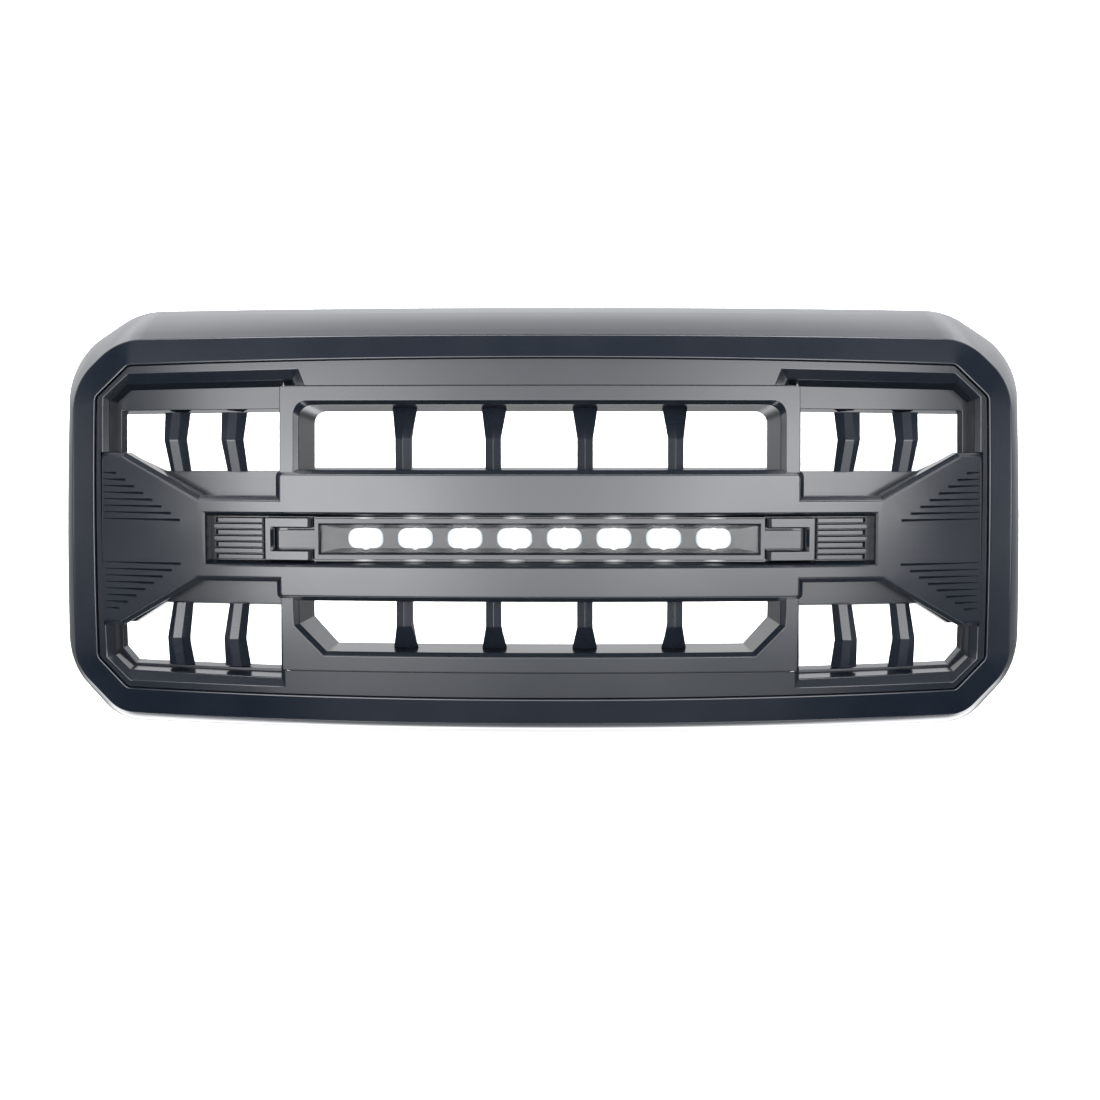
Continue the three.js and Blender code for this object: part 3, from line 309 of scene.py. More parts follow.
def rounded(rings, lengths, steps=FILLET_STEPS):
    """Rounds the corner that the rings make at ring k, starting lengths[k] away from it on both sides."""
    result = []
    for k, here in enumerate(rings):
        if not lengths[k]:
            result.append(here)
            continue
        before = toward(here, rings[k - 1], lengths[k])
        after = toward(here, rings[(k + 1) % len(rings)], lengths[k])
        for step in range(steps + 1):
            t = step / steps
            result.append([
                a * (1 - t) ** 2 + p * (2 * t * (1 - t)) + b * t * t for a, p, b in zip(before, here, after)
            ])
    return result


def skin(rings, closed=False):
    """A closed mesh through the rings, capped at both ends, or closed on itself."""
    bm = bmesh.new()
    rows = [[bm.verts.new(p) for p in points] for points in rings]
    pairs = list(zip(rows, rows[1:] + ([rows[0]] if closed else [])))
    for row, after in pairs:
        for i in range(len(row)):
            j = (i + 1) % len(row)
            bm.faces.new((row[i], row[j], after[j], after[i]))
    if not closed:
        bm.faces.new(rows[0])
        bm.faces.new(rows[-1][::-1])
    bmesh.ops.remove_doubles(bm, verts=bm.verts[:], dist=1e-4)
    bmesh.ops.recalc_face_normals(bm, faces=bm.faces[:])
    mesh = bpy.data.meshes.new("solid")
    bm.to_mesh(mesh)
    bm.free()
    return mesh


def prism(outline, front, rear, fillet=0.0):
    """A plate or block with that front outline; its front edge is rounded."""
    if not fillet:
        return skin([ring(outline, front), ring(outline, rear)])
    rings = [ring(outset(outline, -2 * fillet), front), ring(outline, front), ring(outline, rear)]
    return skin(rounded(rings, [0, fillet, 0]))


def block(x0, x1, y0, y1, z0, z1):
    return prism(rectangle((x1 - x0) / 2, (z1 - z0) / 2, (x0 + x1) / 2, (z0 + z1) / 2), y0, y1)


def merged(*meshes):
    bm = bmesh.new()
    for mesh in meshes:
        bm.from_mesh(mesh)
    result = bpy.data.meshes.new("solid")
    bm.to_mesh(result)
    bm.free()
    return result


def boolean(body, tool, operation):
    holder, cutter = [bpy.data.objects.new("work", mesh) for mesh in (body, tool)]
    for piece in (holder, cutter):
        bpy.context.scene.collection.objects.link(piece)
    step = holder.modifiers.new("work", "BOOLEAN")
    step.operation = operation
    step.solver = "EXACT"
    step.object = cutter
    evaluated = holder.evaluated_get(bpy.context.evaluated_depsgraph_get())
    result = bpy.data.meshes.new_from_object(evaluated)
    for piece in (holder, cutter):
        bpy.data.objects.remove(piece)
    return result


def join(body, *pieces):
    for piece in pieces:
        body = boolean(body, piece, "UNION")
    return body


def cut(body, *tools):
    for tool in tools:
        body = boolean(body, tool, "DIFFERENCE")
    return body


def mirror(mesh):
    bm = bmesh.new()
    bm.from_mesh(mesh)
    for vert in bm.verts:
        vert.co.x = -vert.co.x
    bmesh.ops.reverse_faces(bm, faces=bm.faces[:])
    result = bpy.data.meshes.new("solid")
    bm.to_mesh(result)
    bm.free()
    return result


def both(mesh):
    return [mesh, mirror(mesh)]


def moved(mesh, x=0.0, y=0.0, z=0.0):
    result = mesh.copy()
    for vert in result.vertices:
        vert.co += Vector((x, y, z))
    return result


def bend(mesh):
    """Sets a flat drawing onto the bowed and crowned face, cut into small cells first."""
    bm = bmesh.new()
    bm.from_mesh(mesh)
    for axis in (0, 2):
        values = [v.co[axis] for v in bm.verts]
        line = math.ceil(min(values) / CELL) * CELL
        while line < max(values):
            place, normal = Vector(), Vector()
            place[axis], normal[axis] = line, 1
            everything = bm.verts[:] + bm.edges[:] + bm.faces[:]
            bmesh.ops.bisect_plane(bm, geom=everything, dist=1e-3, plane_co=place, plane_no=normal)
            line += CELL
    for vert in bm.verts:
        vert.co.y += face_depth(vert.co.x, vert.co.z)
    result = bpy.data.meshes.new("solid")
    bm.to_mesh(result)
    bm.free()
    return result


# ---------------------------------------------------------------- from the drawing into the frame

lamp_low, lamp_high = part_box("lamp_bezel")
LAMP_FRONT = 26
OFFSET = Vector((0, lamp_low.y - LAMP_FRONT / 1000, (lamp_low.z + lamp_high.z) / 2 - LAMP_Z / 1000))
SMOOTH_ANGLE = math.radians(32)


def show(name, mesh, material, replaced=None):
    """Puts a drawn piece into the row frame, in place of the CAD node of the same name."""
    final = mesh.copy()
    for vert in final.vertices:
        vert.co = vert.co / 1000 + OFFSET
        for k in range(3):
            vert.co[k] = min(max(vert.co[k], cad_low[k]), cad_high[k])
    final.name = name
    piece = bpy.data.objects.new("v_" + name, final)
    bpy.context.scene.collection.objects.link(piece)
    for face in final.polygons:
        face.use_smooth = True
    final.set_sharp_from_angle(angle=SMOOTH_ANGLE)
    weighted = piece.modifiers.new("even_normals", "WEIGHTED_NORMAL")
    weighted.keep_sharp = True
    final.materials.clear()
    final.materials.append(material)
    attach(piece, "root")
    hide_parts(*(replaced or [name]))
    return piece


def show_pair(name, right, material):
    show(name + "_right", right, material)
    show(name + "_left", mirror(right), material)


# ---------------------------------------------------------------- materials


class Nodes:
    """Short helpers for building one material."""

    def __init__(self, name, material=None):
        self.material = material or bpy.data.materials.new(name)
        self.material.use_nodes = True
        self.tree = self.material.node_tree
        self.shader = self.tree.nodes["Principled BSDF"]
        self.place = self.add("ShaderNodeTexCoord").outputs["Object"]

    def add(self, kind, **settings):
        node = self.tree.nodes.new(kind)
        for key, value in settings.items():
            setattr(node, key, value)
        return node

    def link(self, a, b):
        self.tree.links.new(a, b)

    def noise(self, scale, detail=2.0, stretch=None):
        node = self.add("ShaderNodeTexNoise")
        node.inputs["Scale"].default_value = scale
        node.inputs["Detail"].default_value = detail
        source = self.place
        if stretch:
            mapping = self.add("ShaderNodeMapping")
            mapping.inputs["Scale"].default_value = stretch
            self.link(self.place, mapping.inputs["Vector"])
            source = mapping.outputs["Vector"]
        self.link(source, node.inputs["Vector"])
        return node.outputs["Fac"]

    def range(self, value, low, high, in_low=0.3, in_high=0.7):
        node = self.add("ShaderNodeMapRange")
        for key, number in (("From Min", in_low), ("From Max", in_high), ("To Min", low), ("To Max", high)):
            node.inputs[key].default_value = number
        self.link(value, node.inputs["Value"])
        return node.outputs["Result"]

    def blend(self, factor, first, second):
        node = self.add("ShaderNodeMix", data_type="RGBA")
        self.link(factor, node.inputs["Factor"])
        node.inputs["A"].default_value = (*first, 1)
        node.inputs["B"].default_value = (*second, 1)
        return node.outputs["Result"]

    def math(self, operation, first, second=None):
        """A math node on a socket and, where it needs one, a second socket or a number."""
        node = self.add("ShaderNodeMath", operation=operation)
        self.link(first, node.inputs[0])
        if isinstance(second, (int, float)):
            node.inputs[1].default_value = second
        elif second is not None:
            self.link(second, node.inputs[1])
        return node.outputs[0]

    def bump(self, height, strength, distance):
        node = self.add("ShaderNodeBump")
        node.inputs["Strength"].default_value = strength
        node.inputs["Distance"].default_value = distance
        self.link(height, node.inputs["Height"])
        self.link(node.outputs["Normal"], self.shader.inputs["Normal"])


def satin_plastic(name, dark, light, roughness, grain=0.12):
    """Moulded plastic: a fine grain, and slow changes of tone and gloss."""
    n = Nodes(name)
    n.link(n.blend(n.range(n.noise(14, 4), 0, 1), dark, light), n.shader.inputs["Base Color"])
    n.link(n.range(n.noise(9, 3), roughness - 0.02, roughness + 0.02), n.shader.inputs["Roughness"])
    n.shader.inputs["Specular IOR Level"].default_value = 0.5
    n.bump(n.noise(2400, 2), grain, 0.00004)
    return n.material


def metal(name, dark, light, roughness, stretch=(40, 900, 900)):
    n = Nodes(name)
    n.shader.inputs["Metallic"].default_value = 1
    n.link(n.blend(n.range(n.noise(30, 5), 0, 1), dark, light), n.shader.inputs["Base Color"])
    streaks = n.noise(1, 3, stretch)
    n.link(n.range(streaks, roughness - 0.07, roughness + 0.07), n.shader.inputs["Roughness"])
    n.bump(streaks, 0.15, 0.00005)
    return n.material


SHELL = satin_plastic("shell_plastic", (0.005, 0.008, 0.013), (0.008, 0.011, 0.017), 0.20)
PANEL = satin_plastic("panel_plastic", (0.007, 0.010, 0.014), (0.010, 0.013, 0.018), 0.20)
BAR = satin_plastic("bar_plastic", (0.007, 0.010, 0.014), (0.010, 0.013, 0.018), 0.18)
FIN = satin_plastic("fin_plastic", (0.008, 0.011, 0.016), (0.012, 0.015, 0.021), 0.28)
LAMP_DARK, LAMP_LIGHT = (0.012, 0.014, 0.018), (0.018, 0.020, 0.024)
LAMP = satin_plastic("lamp_plastic", LAMP_DARK, LAMP_LIGHT, 0.22, 0.08)
RUBBER = satin_plastic("rubber", (0.012, 0.012, 0.012), (0.022, 0.022, 0.022), 0.8, 0.4)
BOARD = satin_plastic("board_white", (0.70, 0.71, 0.69), (0.80, 0.81, 0.79), 0.45, 0.05)
ALUMINIUM = metal("black_anodised", (0.05, 0.05, 0.055), (0.08, 0.08, 0.085), 0.42)
STEEL = metal("zinc_steel", (0.42, 0.43, 0.44), (0.55, 0.56, 0.57), 0.34, (300, 60, 300))
REFLECTOR = satin_plastic("reflector_grey", (0.060, 0.060, 0.060), (0.075, 0.075, 0.075), 0.34, 0.06)


def lens_glass():
    n = Nodes("clear_lens")
    n.shader.inputs["Base Color"].default_value = (0.02, 0.021, 0.022, 1)
    n.link(n.range(n.noise(20, 3), 0.02, 0.06), n.shader.inputs["Roughness"])
    n.shader.inputs["IOR"].default_value = 1.49
    n.shader.inputs["Alpha"].default_value = 0.12
    return n.material


def near_led(n, inner, outer):
    """1 within the inner distance of an LED's middle and 0 beyond the outer one, in metres; and the place."""
    half_pitch = LED_PITCH / 2000
    row_end = LED_COUNT * half_pitch
    split = n.add("ShaderNodeSeparateXYZ")
    n.link(n.place, split.inputs[0])
    wave = n.math("PINGPONG", split.outputs["X"], half_pitch)
    side = n.math("ABSOLUTE", split.outputs["X"])
    within_row = n.range(side, 1, 0, row_end - 0.002, row_end)
    near = n.range(wave, 0, 1, half_pitch - outer, half_pitch - inner)
    return n.math("MULTIPLY", near, within_row), split


def bezel_with_painted_glints():
    """The bezel's plastic, with a painted glint of each LED on the front of its top and bottom edges:
    emission that stands in for the LED light falling there.
    """
    material = satin_plastic("bezel_plastic_with_painted_glints", LAMP_DARK, LAMP_LIGHT, 0.22, 0.08)
    n = Nodes("painted_glint", material)
    beside, split = near_led(n, 0.002, 0.015)
    middle = (lamp_low.z + lamp_high.z) / 2
    distance = n.math("ABSOLUTE", n.math("SUBTRACT", split.outputs["Z"], middle))
    edge = n.range(distance, 0, 1, 0.0256, 0.0262)
    front = n.range(split.outputs["Y"], 1, 0, lamp_low.y + 0.001, lamp_low.y + 0.0025)
    # painted glint: the bezel glows at its front top and bottom edges beside each LED, in place of light cast
    # by the LEDs
    painted_glint = n.math("MULTIPLY", n.math("MULTIPLY", beside, edge), front)
    n.shader.inputs["Emission Color"].default_value = (1, 1, 1, 1)
    n.link(painted_glint, n.shader.inputs["Emission Strength"])
    return material


def optic_plastic():
    """Lit optic: white over its chip, a little blue and dimmer towards its two ends."""
    n = Nodes("lit_optic")
    n.shader.inputs["Base Color"].default_value = (0.30, 0.33, 0.35, 1)
    n.shader.inputs["Roughness"].default_value = 0.18
    lit = near_led(n, 0.012, 0.0235)[0]
    n.link(n.blend(lit, (0.66, 0.80, 0.86), (1.0, 1.0, 1.0)), n.shader.inputs["Emission Color"])
    glow = n.range(n.noise(90, 2), 0.92, 1.02)
    strength = n.math("MULTIPLY", glow, n.range(lit, 0.6, 1.4, 0, 1))
    n.link(strength, n.shader.inputs["Emission Strength"])
    return n.material


LENS = lens_glass()
OPTIC = optic_plastic()
BEZEL = bezel_with_painted_glints()

# ---------------------------------------------------------------- surround


def rim_depth(x, z):
    t = min(max((abs(z) - RIM_BLEND_START) / RIM_BLEND_HEIGHT, 0), 1)
    target = RIM_DEPTH_TOP if z > 0 else RIM_DEPTH_BOTTOM
    return RIM_DEPTH_SIDE + (target - RIM_DEPTH_SIDE) * t * t * (3 - 2 * t) - crown_depth(z)


def bulged(front, rear, height, steps):
    """Rings between two others that swell outward and forward in the middle."""
    result = []
    for step in range(1, steps):
        t = step / steps
        row = []
        for a, b in zip(front, rear):
            along = b - a
            outward = Vector((a.x, 0, a.z * 2.2)).normalized()
            normal = (outward - along * outward.dot(along) / along.length_squared).normalized()
            row.append(a.lerp(b, t) + normal * height * 4 * t * (1 - t))
        result.append(row)
    return result


def surround():
    lip, band, rim = edge_loop(LIP), edge_loop(BAND), edge_loop(RIM)
    front = [ring(lip, LIP_REAR), ring(lip, LIP_FRONT), ring(band, BAND_DEPTH), ring(rim, rim_depth)]
    rear = [
        ring(outset(rim, -WALL), rim_depth), ring(outset(band, -WALL - 0.5), BAND_DEPTH + WALL + 0.5),
        ring(outset(lip, WALL), LIP_FRONT + WALL + 1.2), ring(outset(lip, WALL), LIP_REAR),
    ]
    corner = rounded(front, [0, LIP_FILLET, BAND_FILLET, 0])
    slope = bulged(corner[-2], corner[-1], SLOPE_BULGE, SLOPE_STEPS)
    edge = rounded([slope[-1], corner[-1], rear[0], rear[1]], [0, *RIM_FILLETS, 0], steps=3)[1:-1]
    return skin(corner[:-1] + slope + edge + rear[1:], closed=True)


show("surround_shell", bend(surround()), SHELL)

# ---------------------------------------------------------------- insert panel


def pocket_block(pocket):
    floor = outset(pocket["floor"], WALL)
    bowl = skin([
        ring(outset(pocket["field"], WALL), FIELD_FRONT), ring(outset(pocket["step"], WALL), STEP_DEPTH),
        ring(floor, FLOOR_DEPTH), ring(floor, FLOOR_DEPTH + WALL),
    ])
    return join(bowl, prism(outset(pocket["front"], WALL), FLOOR_DEPTH + 1, WINDOW_REAR))


def pocket_space(pocket):
    field = ring(pocket["field"], FIELD_FRONT)
    flared = ring(outset(pocket["field"], 1.4), FIELD_FRONT)
    ahead = ring(outset(pocket["field"], 1.4), FIELD_FRONT - 2)
    step, floor = ring(pocket["step"], STEP_DEPTH), ring(pocket["floor"], FLOOR_DEPTH)
    rings = [ahead, flared, field, step, floor]
    return skin(rounded(rings, [0, 0, 0.9, 1.5, 0]))


def window_space(pocket):
    flared = outset(pocket["front"], 1.2)
    rings = [
        ring(flared, FLOOR_DEPTH - 1), ring(flared, FLOOR_DEPTH), ring(pocket["front"], FLOOR_DEPTH),
        ring(pocket["rear"], WINDOW_REAR), ring(pocket["rear"], WINDOW_REAR + 1),
    ]
    return skin(rounded(rings, [0, 0, 0.8, 0, 0]))


def insert_panel():
    edge = outset(edge_loop(LIP), -1.2)
    inner = outset(edge, -WALL)
    pockets = (UPPER_POCKET, LOWER_POCKET)
    skirt = cut(
        prism(edge, FIELD_FRONT + 1, FLANGE_DEPTH + WALL), prism(inner, FIELD_FRONT, FLANGE_DEPTH + 2 * WALL))
    flange = cut(
        prism(outset(edge_loop(LIP), FLANGE_WIDTH), FLANGE_DEPTH, FLANGE_DEPTH + WALL),
        prism(inner, FLANGE_DEPTH - 1, FLANGE_DEPTH + 2 * WALL))
    side, rear = WEB["side"], FLOOR_DEPTH + WALL
    web = block(WEB["inner"], side + WALL, FLOOR_DEPTH, rear, WEB["bottom"], WEB["top"])
    web_wall = block(side, side + WALL, FIELD_FRONT + 1, rear, WEB["wall_bottom"], WEB["wall_top"])
    blocks = [half for piece in [*map(pocket_block, pockets), web, web_wall] for half in both(piece)]
    spaces = [half for pocket in pockets for half in both(pocket_space(pocket))]
    windows = [half for pocket in pockets for half in both(window_space(pocket))]
    centre = block(
        -CENTRE_CUT_HALF, CENTRE_CUT_HALF, -1, INSERT_CUT_REAR,
        LOWER_FRAME["bottom"] - CENTRE_GAP, UPPER_FRAME["top"] + CENTRE_GAP)
    bar_outline = within(outset(symmetric(BAR_OUTLINE), BAR_FLARE + BAR_SPACE["outset"]), BAR_SPACE["end"])
    bar_space = prism(bar_outline, -1, BAR_DEPTH + BAR_SPACE["depth"])
    half_width = CHANNEL_CUT["half_width"]
    channel = block(-half_width, half_width, 0, INSERT_CUT_REAR, CHANNEL_CUT["bottom"], CHANNEL_CUT["top"])
    body = join(prism(edge, FIELD_FRONT, FIELD_FRONT + WALL), skirt, flange, *blocks)
    return cut(body, *spaces, *windows, bar_space, centre, channel)


show("insert_panel", bend(insert_panel()), PANEL)

# ---------------------------------------------------------------- bow-tie bar


def rib_grooves(first_z, direction):
    """Grooves on a wing with sloping floors, thin and shallow at their outer end."""
    grooves = []
    for i in range(RIB_COUNT):
        z = first_z + direction * i * RIB_PITCH
        inner = RIB_FIRST_INNER_X - RIB_INNER_STEP * i
        ends = []
        for x, end in ((inner, RIB_INNER_END), (RIB_OUTER_X, RIB_OUTER_END)):
            low = z - end["height"]
            profile = ((-1, z), (end["depth"], z), (0, low), (-1, low))
            ends.append([Vector((x, y, level)) for y, level in profile])
        grooves.append(skin(ends))
    return merged(*grooves)


def bow_tie_bar():
    face = eased(symmetric(BAR_OUTLINE), BAR_CORNER)
    flared = within(outset(face, BAR_FLARE), BAR_END)
    rings = [
        ring(outset(face, -2.4), 0), ring(face, 0), ring(flared, BAR_FLARE + 1), ring(flared, BAR_DEPTH),
    ]
    solid = skin(rounded(rings, [0, 1.2, 0.8, 0]))
    channel = [ring(rectangle(w, h, 0, CHANNEL_Z), y) for y, w, h in CHANNEL]
    space = skin(rounded(channel, [0, 0, 0.9, 0, 0]))
    hollow_rings = [ring(rectangle(w + WALL, h + WALL, 0, CHANNEL_Z), y) for y, w, h in CHANNEL]
    hollow = cut(prism(outset(symmetric(BAR_OUTLINE), 0.4), WALL + 2, BAR_DEPTH + 1), skin(hollow_rings))
    back = CHANNEL_BACK
    plate = block(
        back["inner"], back["outer"], back["front"], back["rear"],
        CHANNEL_Z - back["half_height"], CHANNEL_Z + back["half_height"])
    body = join(cut(solid, hollow, space), *both(plate))
    for grooves in (rib_grooves(UPPER_RIBS_Z, -1), rib_grooves(LOWER_RIBS_Z, 1)):
        body = cut(body, *both(grooves))
    return body


show("bow_tie_bar", bend(bow_tie_bar()), BAR)

# ---------------------------------------------------------------- centre frames and their fins


def window_outline(points, arc):
    if not arc:
        return symmetric(points)
    return round_corners(symmetric(points), [0, arc, arc, 0])


def centre_frame(spec):
    middle = (spec["bottom"] + spec["top"]) / 2
    half_height = (spec["top"] - spec["bottom"]) / 2
    outer = rectangle(FRAME_HALF, half_height, 0, middle)
    body = prism(eased(outer, 2), FRAME_FRONT, FRAME_SKIRT, 0.9)
    hollow = prism(outset(outer, -WALL), FRAME_FRONT + 4, FRAME_SKIRT + 1)
    arc_front, arc_rear = spec["arc"]
    front = window_outline(spec["front"], arc_front)
    bevel = window_outline(spec["bevel"], arc_front)
    rear = window_outline(spec["rear"], arc_rear)
    duct = skin([
        ring(outset(front, WALL), FRAME_FRONT + 3), ring(outset(bevel, WALL), 14),
        ring(outset(rear, WALL), FRAME_REAR),
    ])
    half, edge_z = spec["flange"]
    reach = FRAME_FLANGE["reach"]
    flange = block(-half, half, FRAME_FLANGE["front"], FRAME_FLANGE["rear"], edge_z - reach, edge_z + reach)
    flare = outset(front, 1.2)
    rings = [
        ring(flare, FRAME_FRONT - 1), ring(flare, FRAME_FRONT), ring(front, FRAME_FRONT),
        ring(bevel, FRAME_FRONT + FRAME_BEVEL), ring(rear, FRAME_REAR), ring(rear, FRAME_REAR + 1),
    ]
    space = skin(rounded(rings, [0, 0, 0.8, 1.2, 0, 0]))
    stop_half, reach = half + FRAME_STOP["beyond"], FRAME_STOP["reach"]
    stop = block(
        -stop_half, stop_half, FRAME_STOP["front"], FRAME_STOP["rear"], edge_z - reach, edge_z + reach)
    return cut(join(cut(body, hollow), duct, flange, stop), space)


show("centre_frame_upper", bend(centre_frame(UPPER_FRAME)), PANEL)
show("centre_frame_lower", bend(centre_frame(LOWER_FRAME)), PANEL)


def duct_wall(spec, pick, y):
    part = (y - FRAME_FRONT) / (FRAME_REAR - FRAME_FRONT)
    front = pick(z for _, z in spec["front"])
    rear = pick(z for _, z in spec["rear"])
    return front + (rear - front) * part


def stacked(levels, fillet):
    """A fin through plan sections stacked in z, each a list of (x, y); a height may depend on y."""
    rings = [
        [Vector((x, y, z(y) if callable(z) else z)) for x, y in eased(plan, fillet, 3)] for plan, z in levels
    ]
    return skin(rounded(rings, [0] + [1.6] * (len(rings) - 2) + [0], steps=3))


def duct_plan(width, front):
    half, side, rear = width / 2, front + DUCT_FIN["ridge"], DUCT_FIN["rear"]
    back = half * DUCT_FIN["back_taper"]
    return [(0, front), (half, side), (back, rear), (-back, rear), (-half, side)]


def duct_fin(spec, crease_z, upper):
    def top(y):
        return duct_wall(spec, max, y) + 0.6

    def bottom(y):
        return duct_wall(spec, min, y) - 0.6

    end, crease, bar = [duct_plan(*DUCT_FIN[level]) for level in ("end", "crease", "bar")]
    low, high = (bar, end) if upper else (end, bar)
    return stacked([(low, bottom), (crease, crease_z), (high, top)], 0.7)


def side_plan(width, front, shift):
    right = [
        (SIDE_FIN["nose"], front), (width / 2, front + SIDE_FIN["shoulder"]),
        (SIDE_FIN["back_half"], SIDE_FIN["rear"]),
    ]
    left = [(-x, y) for x, y in reversed(right)]
    return [(x + shift, y) for x, y in right + left]


def side_fin(end, crease, bar):
    levels = [
        (side_plan(*SIDE_FIN["end"]), end), (side_plan(*SIDE_FIN["crease"]), crease),
        (side_plan(*SIDE_FIN["bar"]), bar),
    ]
    return stacked(levels if end < bar else levels[::-1], 0.6)


for i, x in enumerate(DUCT_FIN_X):
    upper = bend(moved(duct_fin(UPPER_FRAME, DUCT_CREASE_Z["upper"], True), x=x))
    lower = bend(moved(duct_fin(LOWER_FRAME, DUCT_CREASE_Z["lower"], False), x=x))
    show_pair(f"duct_fin_upper_{i + 1}", upper, FIN)
    show_pair(f"duct_fin_lower_{i + 1}", lower, FIN)
for i, x in enumerate(SIDE_FIN_X):
    for name, end, crease, bar in SIDE_FIN_SPANS:
        fin = moved(side_fin(end, crease, bar), x=x, y=face_depth(x, crease))
        show_pair(f"side_fin_{name}_{i + 1}", fin, FIN)

# ---------------------------------------------------------------- channel trims and louvres


def c_outline(inner, outer, notch, half, notch_half):
    """A C that opens towards the middle of the grille, round the channel's own height."""
    outline = [
        (inner, -half), (outer, -half), (outer, half), (inner, half),
        (inner, notch_half), (notch, notch_half), (notch, -notch_half), (inner, -notch_half),
    ]
    return [(x, z + CHANNEL_Z) for x, z in outline]


def channel_trim():
    outline = c_outline(TRIM["inner"], TRIM["outer"], TRIM["notch"], TRIM["half"], TRIM["notch_half"])
    inset = TRIM_FACE_INSET
    face = c_outline(
        TRIM["inner"] + inset["inner"], TRIM["outer"] - inset["outer"], TRIM["notch"] + inset["notch"],
        TRIM["half"] - inset["edge"], TRIM["notch_half"] + inset["notch_edge"])
    front, rear = TRIM_DEPTHS["face"], TRIM_DEPTHS["rear"]
    rings = [
        ring(outset(face, -0.8), front), ring(face, front), ring(outline, TRIM_DEPTHS["chamfer"]),
        ring(outline, rear),
    ]
    solid = skin(rounded(rings, [0, 0.4, 0.6, 0]))
    return cut(solid, prism(outset(outline, -2.5), TRIM_DEPTHS["hollow"], rear + 1))


def louvre():
    inner, long, base = LOUVRE["inner"], LOUVRE["long"], LOUVRE["base"]
    plate = block(inner, long, base, LOUVRE["rear"], CHANNEL_Z - LOUVRE["half"], CHANNEL_Z + LOUVRE["half"])
    slats = []
    for i in range(LOUVRE["slats"]):
        z = CHANNEL_Z + (LOUVRE["slats"] // 2 - i) * LOUVRE["pitch"]
        outer = LOUVRE["short"] if i % 2 == 0 else long
        tip = rectangle((outer - inner) / 2, LOUVRE["tip_half"], (inner + outer) / 2, z)
        root = rectangle((long - inner) / 2, LOUVRE["root_half"], (inner + long) / 2, z)
        rings = [ring(outset(tip, -1), LOUVRE["front"]), ring(tip, LOUVRE["front"]), ring(root, base + 1)]
        slats.append(skin(rounded(rings, [0, 0.5, 0])))
    return join(plate, *slats)


show_pair("channel_trim", bend(channel_trim()), BAR)
show_pair("louvre", bend(louvre()), BAR)

# ---------------------------------------------------------------- light bar


def lamp_plate(half_width, half_height, front, rear, fillet=0.0, radius=0.0):
    outline = rectangle(half_width, half_height, 0, LAMP_Z)
    return prism(eased(outline, radius) if radius else outline, front, rear, fillet)


def lamp_rings(levels):
    return [ring(rectangle(w, h, 0, LAMP_Z), y) for y, w, h in levels]


def bezel():
    body = join(
        lamp_plate(BEZEL_HALF, 26.4, LAMP_FRONT, BEZEL_REAR, 0.9, 2),
        block(-BEZEL_HALF, BEZEL_HALF, LAMP_FRONT + 2, BEZEL_REAR, -51.3, 4.5),
        lamp_plate(327.6, 11.35, LAMP_FRONT, LAMP_FRONT + 3, 0.6, 1.5),
    )
    levels = [
        (LAMP_FRONT - 1, 278.6, 20.8), (LAMP_FRONT, 278.6, 20.8), (LAMP_FRONT, 277.6, 19.8),
        (BEZEL_SEAT, 275.5, 17.2), (BEZEL_SEAT + 1, 275.5, 17.2),
    ]
    window = skin(rounded(lamp_rings(levels), [0, 0, 0.4, 0, 0]))
    return cut(body, window, lamp_plate(279.6, 22.6, BEZEL_SEAT, BEZEL_REAR + 1))


def optic_outline(x, grow=0.0):
    """An oval with flat top and bottom, a rounded nub above it and a pointed one below."""
    half_width = OPTIC_SHAPE["half_width"] + grow
    half_height = OPTIC_SHAPE["half_height"] + grow
    steps = OPTIC_SHAPE["arc_steps"]
    oval = round_corners(rectangle(half_width, half_height, x, LAMP_Z), [OPTIC_SHAPE["radius"]] * 4, steps)
    top, bottom = LAMP_Z + half_height, LAMP_Z - half_height
    below = [(x - 4.4, bottom), (x - 1.2, bottom - 2.2), (x + 1.2, bottom - 2.2), (x + 4.4, bottom)]
    above = [(x + 3.2, top), (x + 1, top + 1.0), (x - 1, top + 1.0), (x - 3.2, top)]
    arc = steps + 1
    return oval[:arc] + below + oval[arc:3 * arc] + above + oval[3 * arc:]


def optic(x):
    outline = optic_outline(x)
    middle = [(x + (px - x) * 0.5, LAMP_Z + (pz - LAMP_Z) * 0.5) for px, pz in outline]
    rings = [ring(middle, 40.9), ring(outset(outline, -1.2), 41.5), ring(outline, 42.6), ring(outline, 52.2)]
    return skin(rounded(rings, [0, 0.8, 0.8, 0]))


def reflector():
    flange = lamp_plate(278.5, 21.5, 35.4, 37)
    tray = skin(lamp_rings([(35.4, 274.5, 18.1), (44, 254.2, 14.1), (46, 254.2, 14.1)]))
    space = skin(lamp_rings([(34.4, 273, 16.6), (35.4, 273, 16.6), (44, 252.7, 12.6)]))
    holes = [prism(optic_outline(x, 0.4), 41, 47) for x in LED_PLACES]
    return cut(join(tray, flange), space, *holes)


LED_PLACES = [(i - (LED_COUNT - 1) / 2) * LED_PITCH for i in range(LED_COUNT)]
show("lamp_bezel", bezel(), BEZEL)
show("lamp_lens", lamp_plate(279, 22, 30.3, 33.3, 0.4, 2), LENS)
show("lamp_reflector", reflector(), REFLECTOR)
for i, x in enumerate(LED_PLACES):
    show(f"led_optic_{i + 1}", optic(x), OPTIC)

# ---------------------------------------------------------------- pieces that keep their CAD form

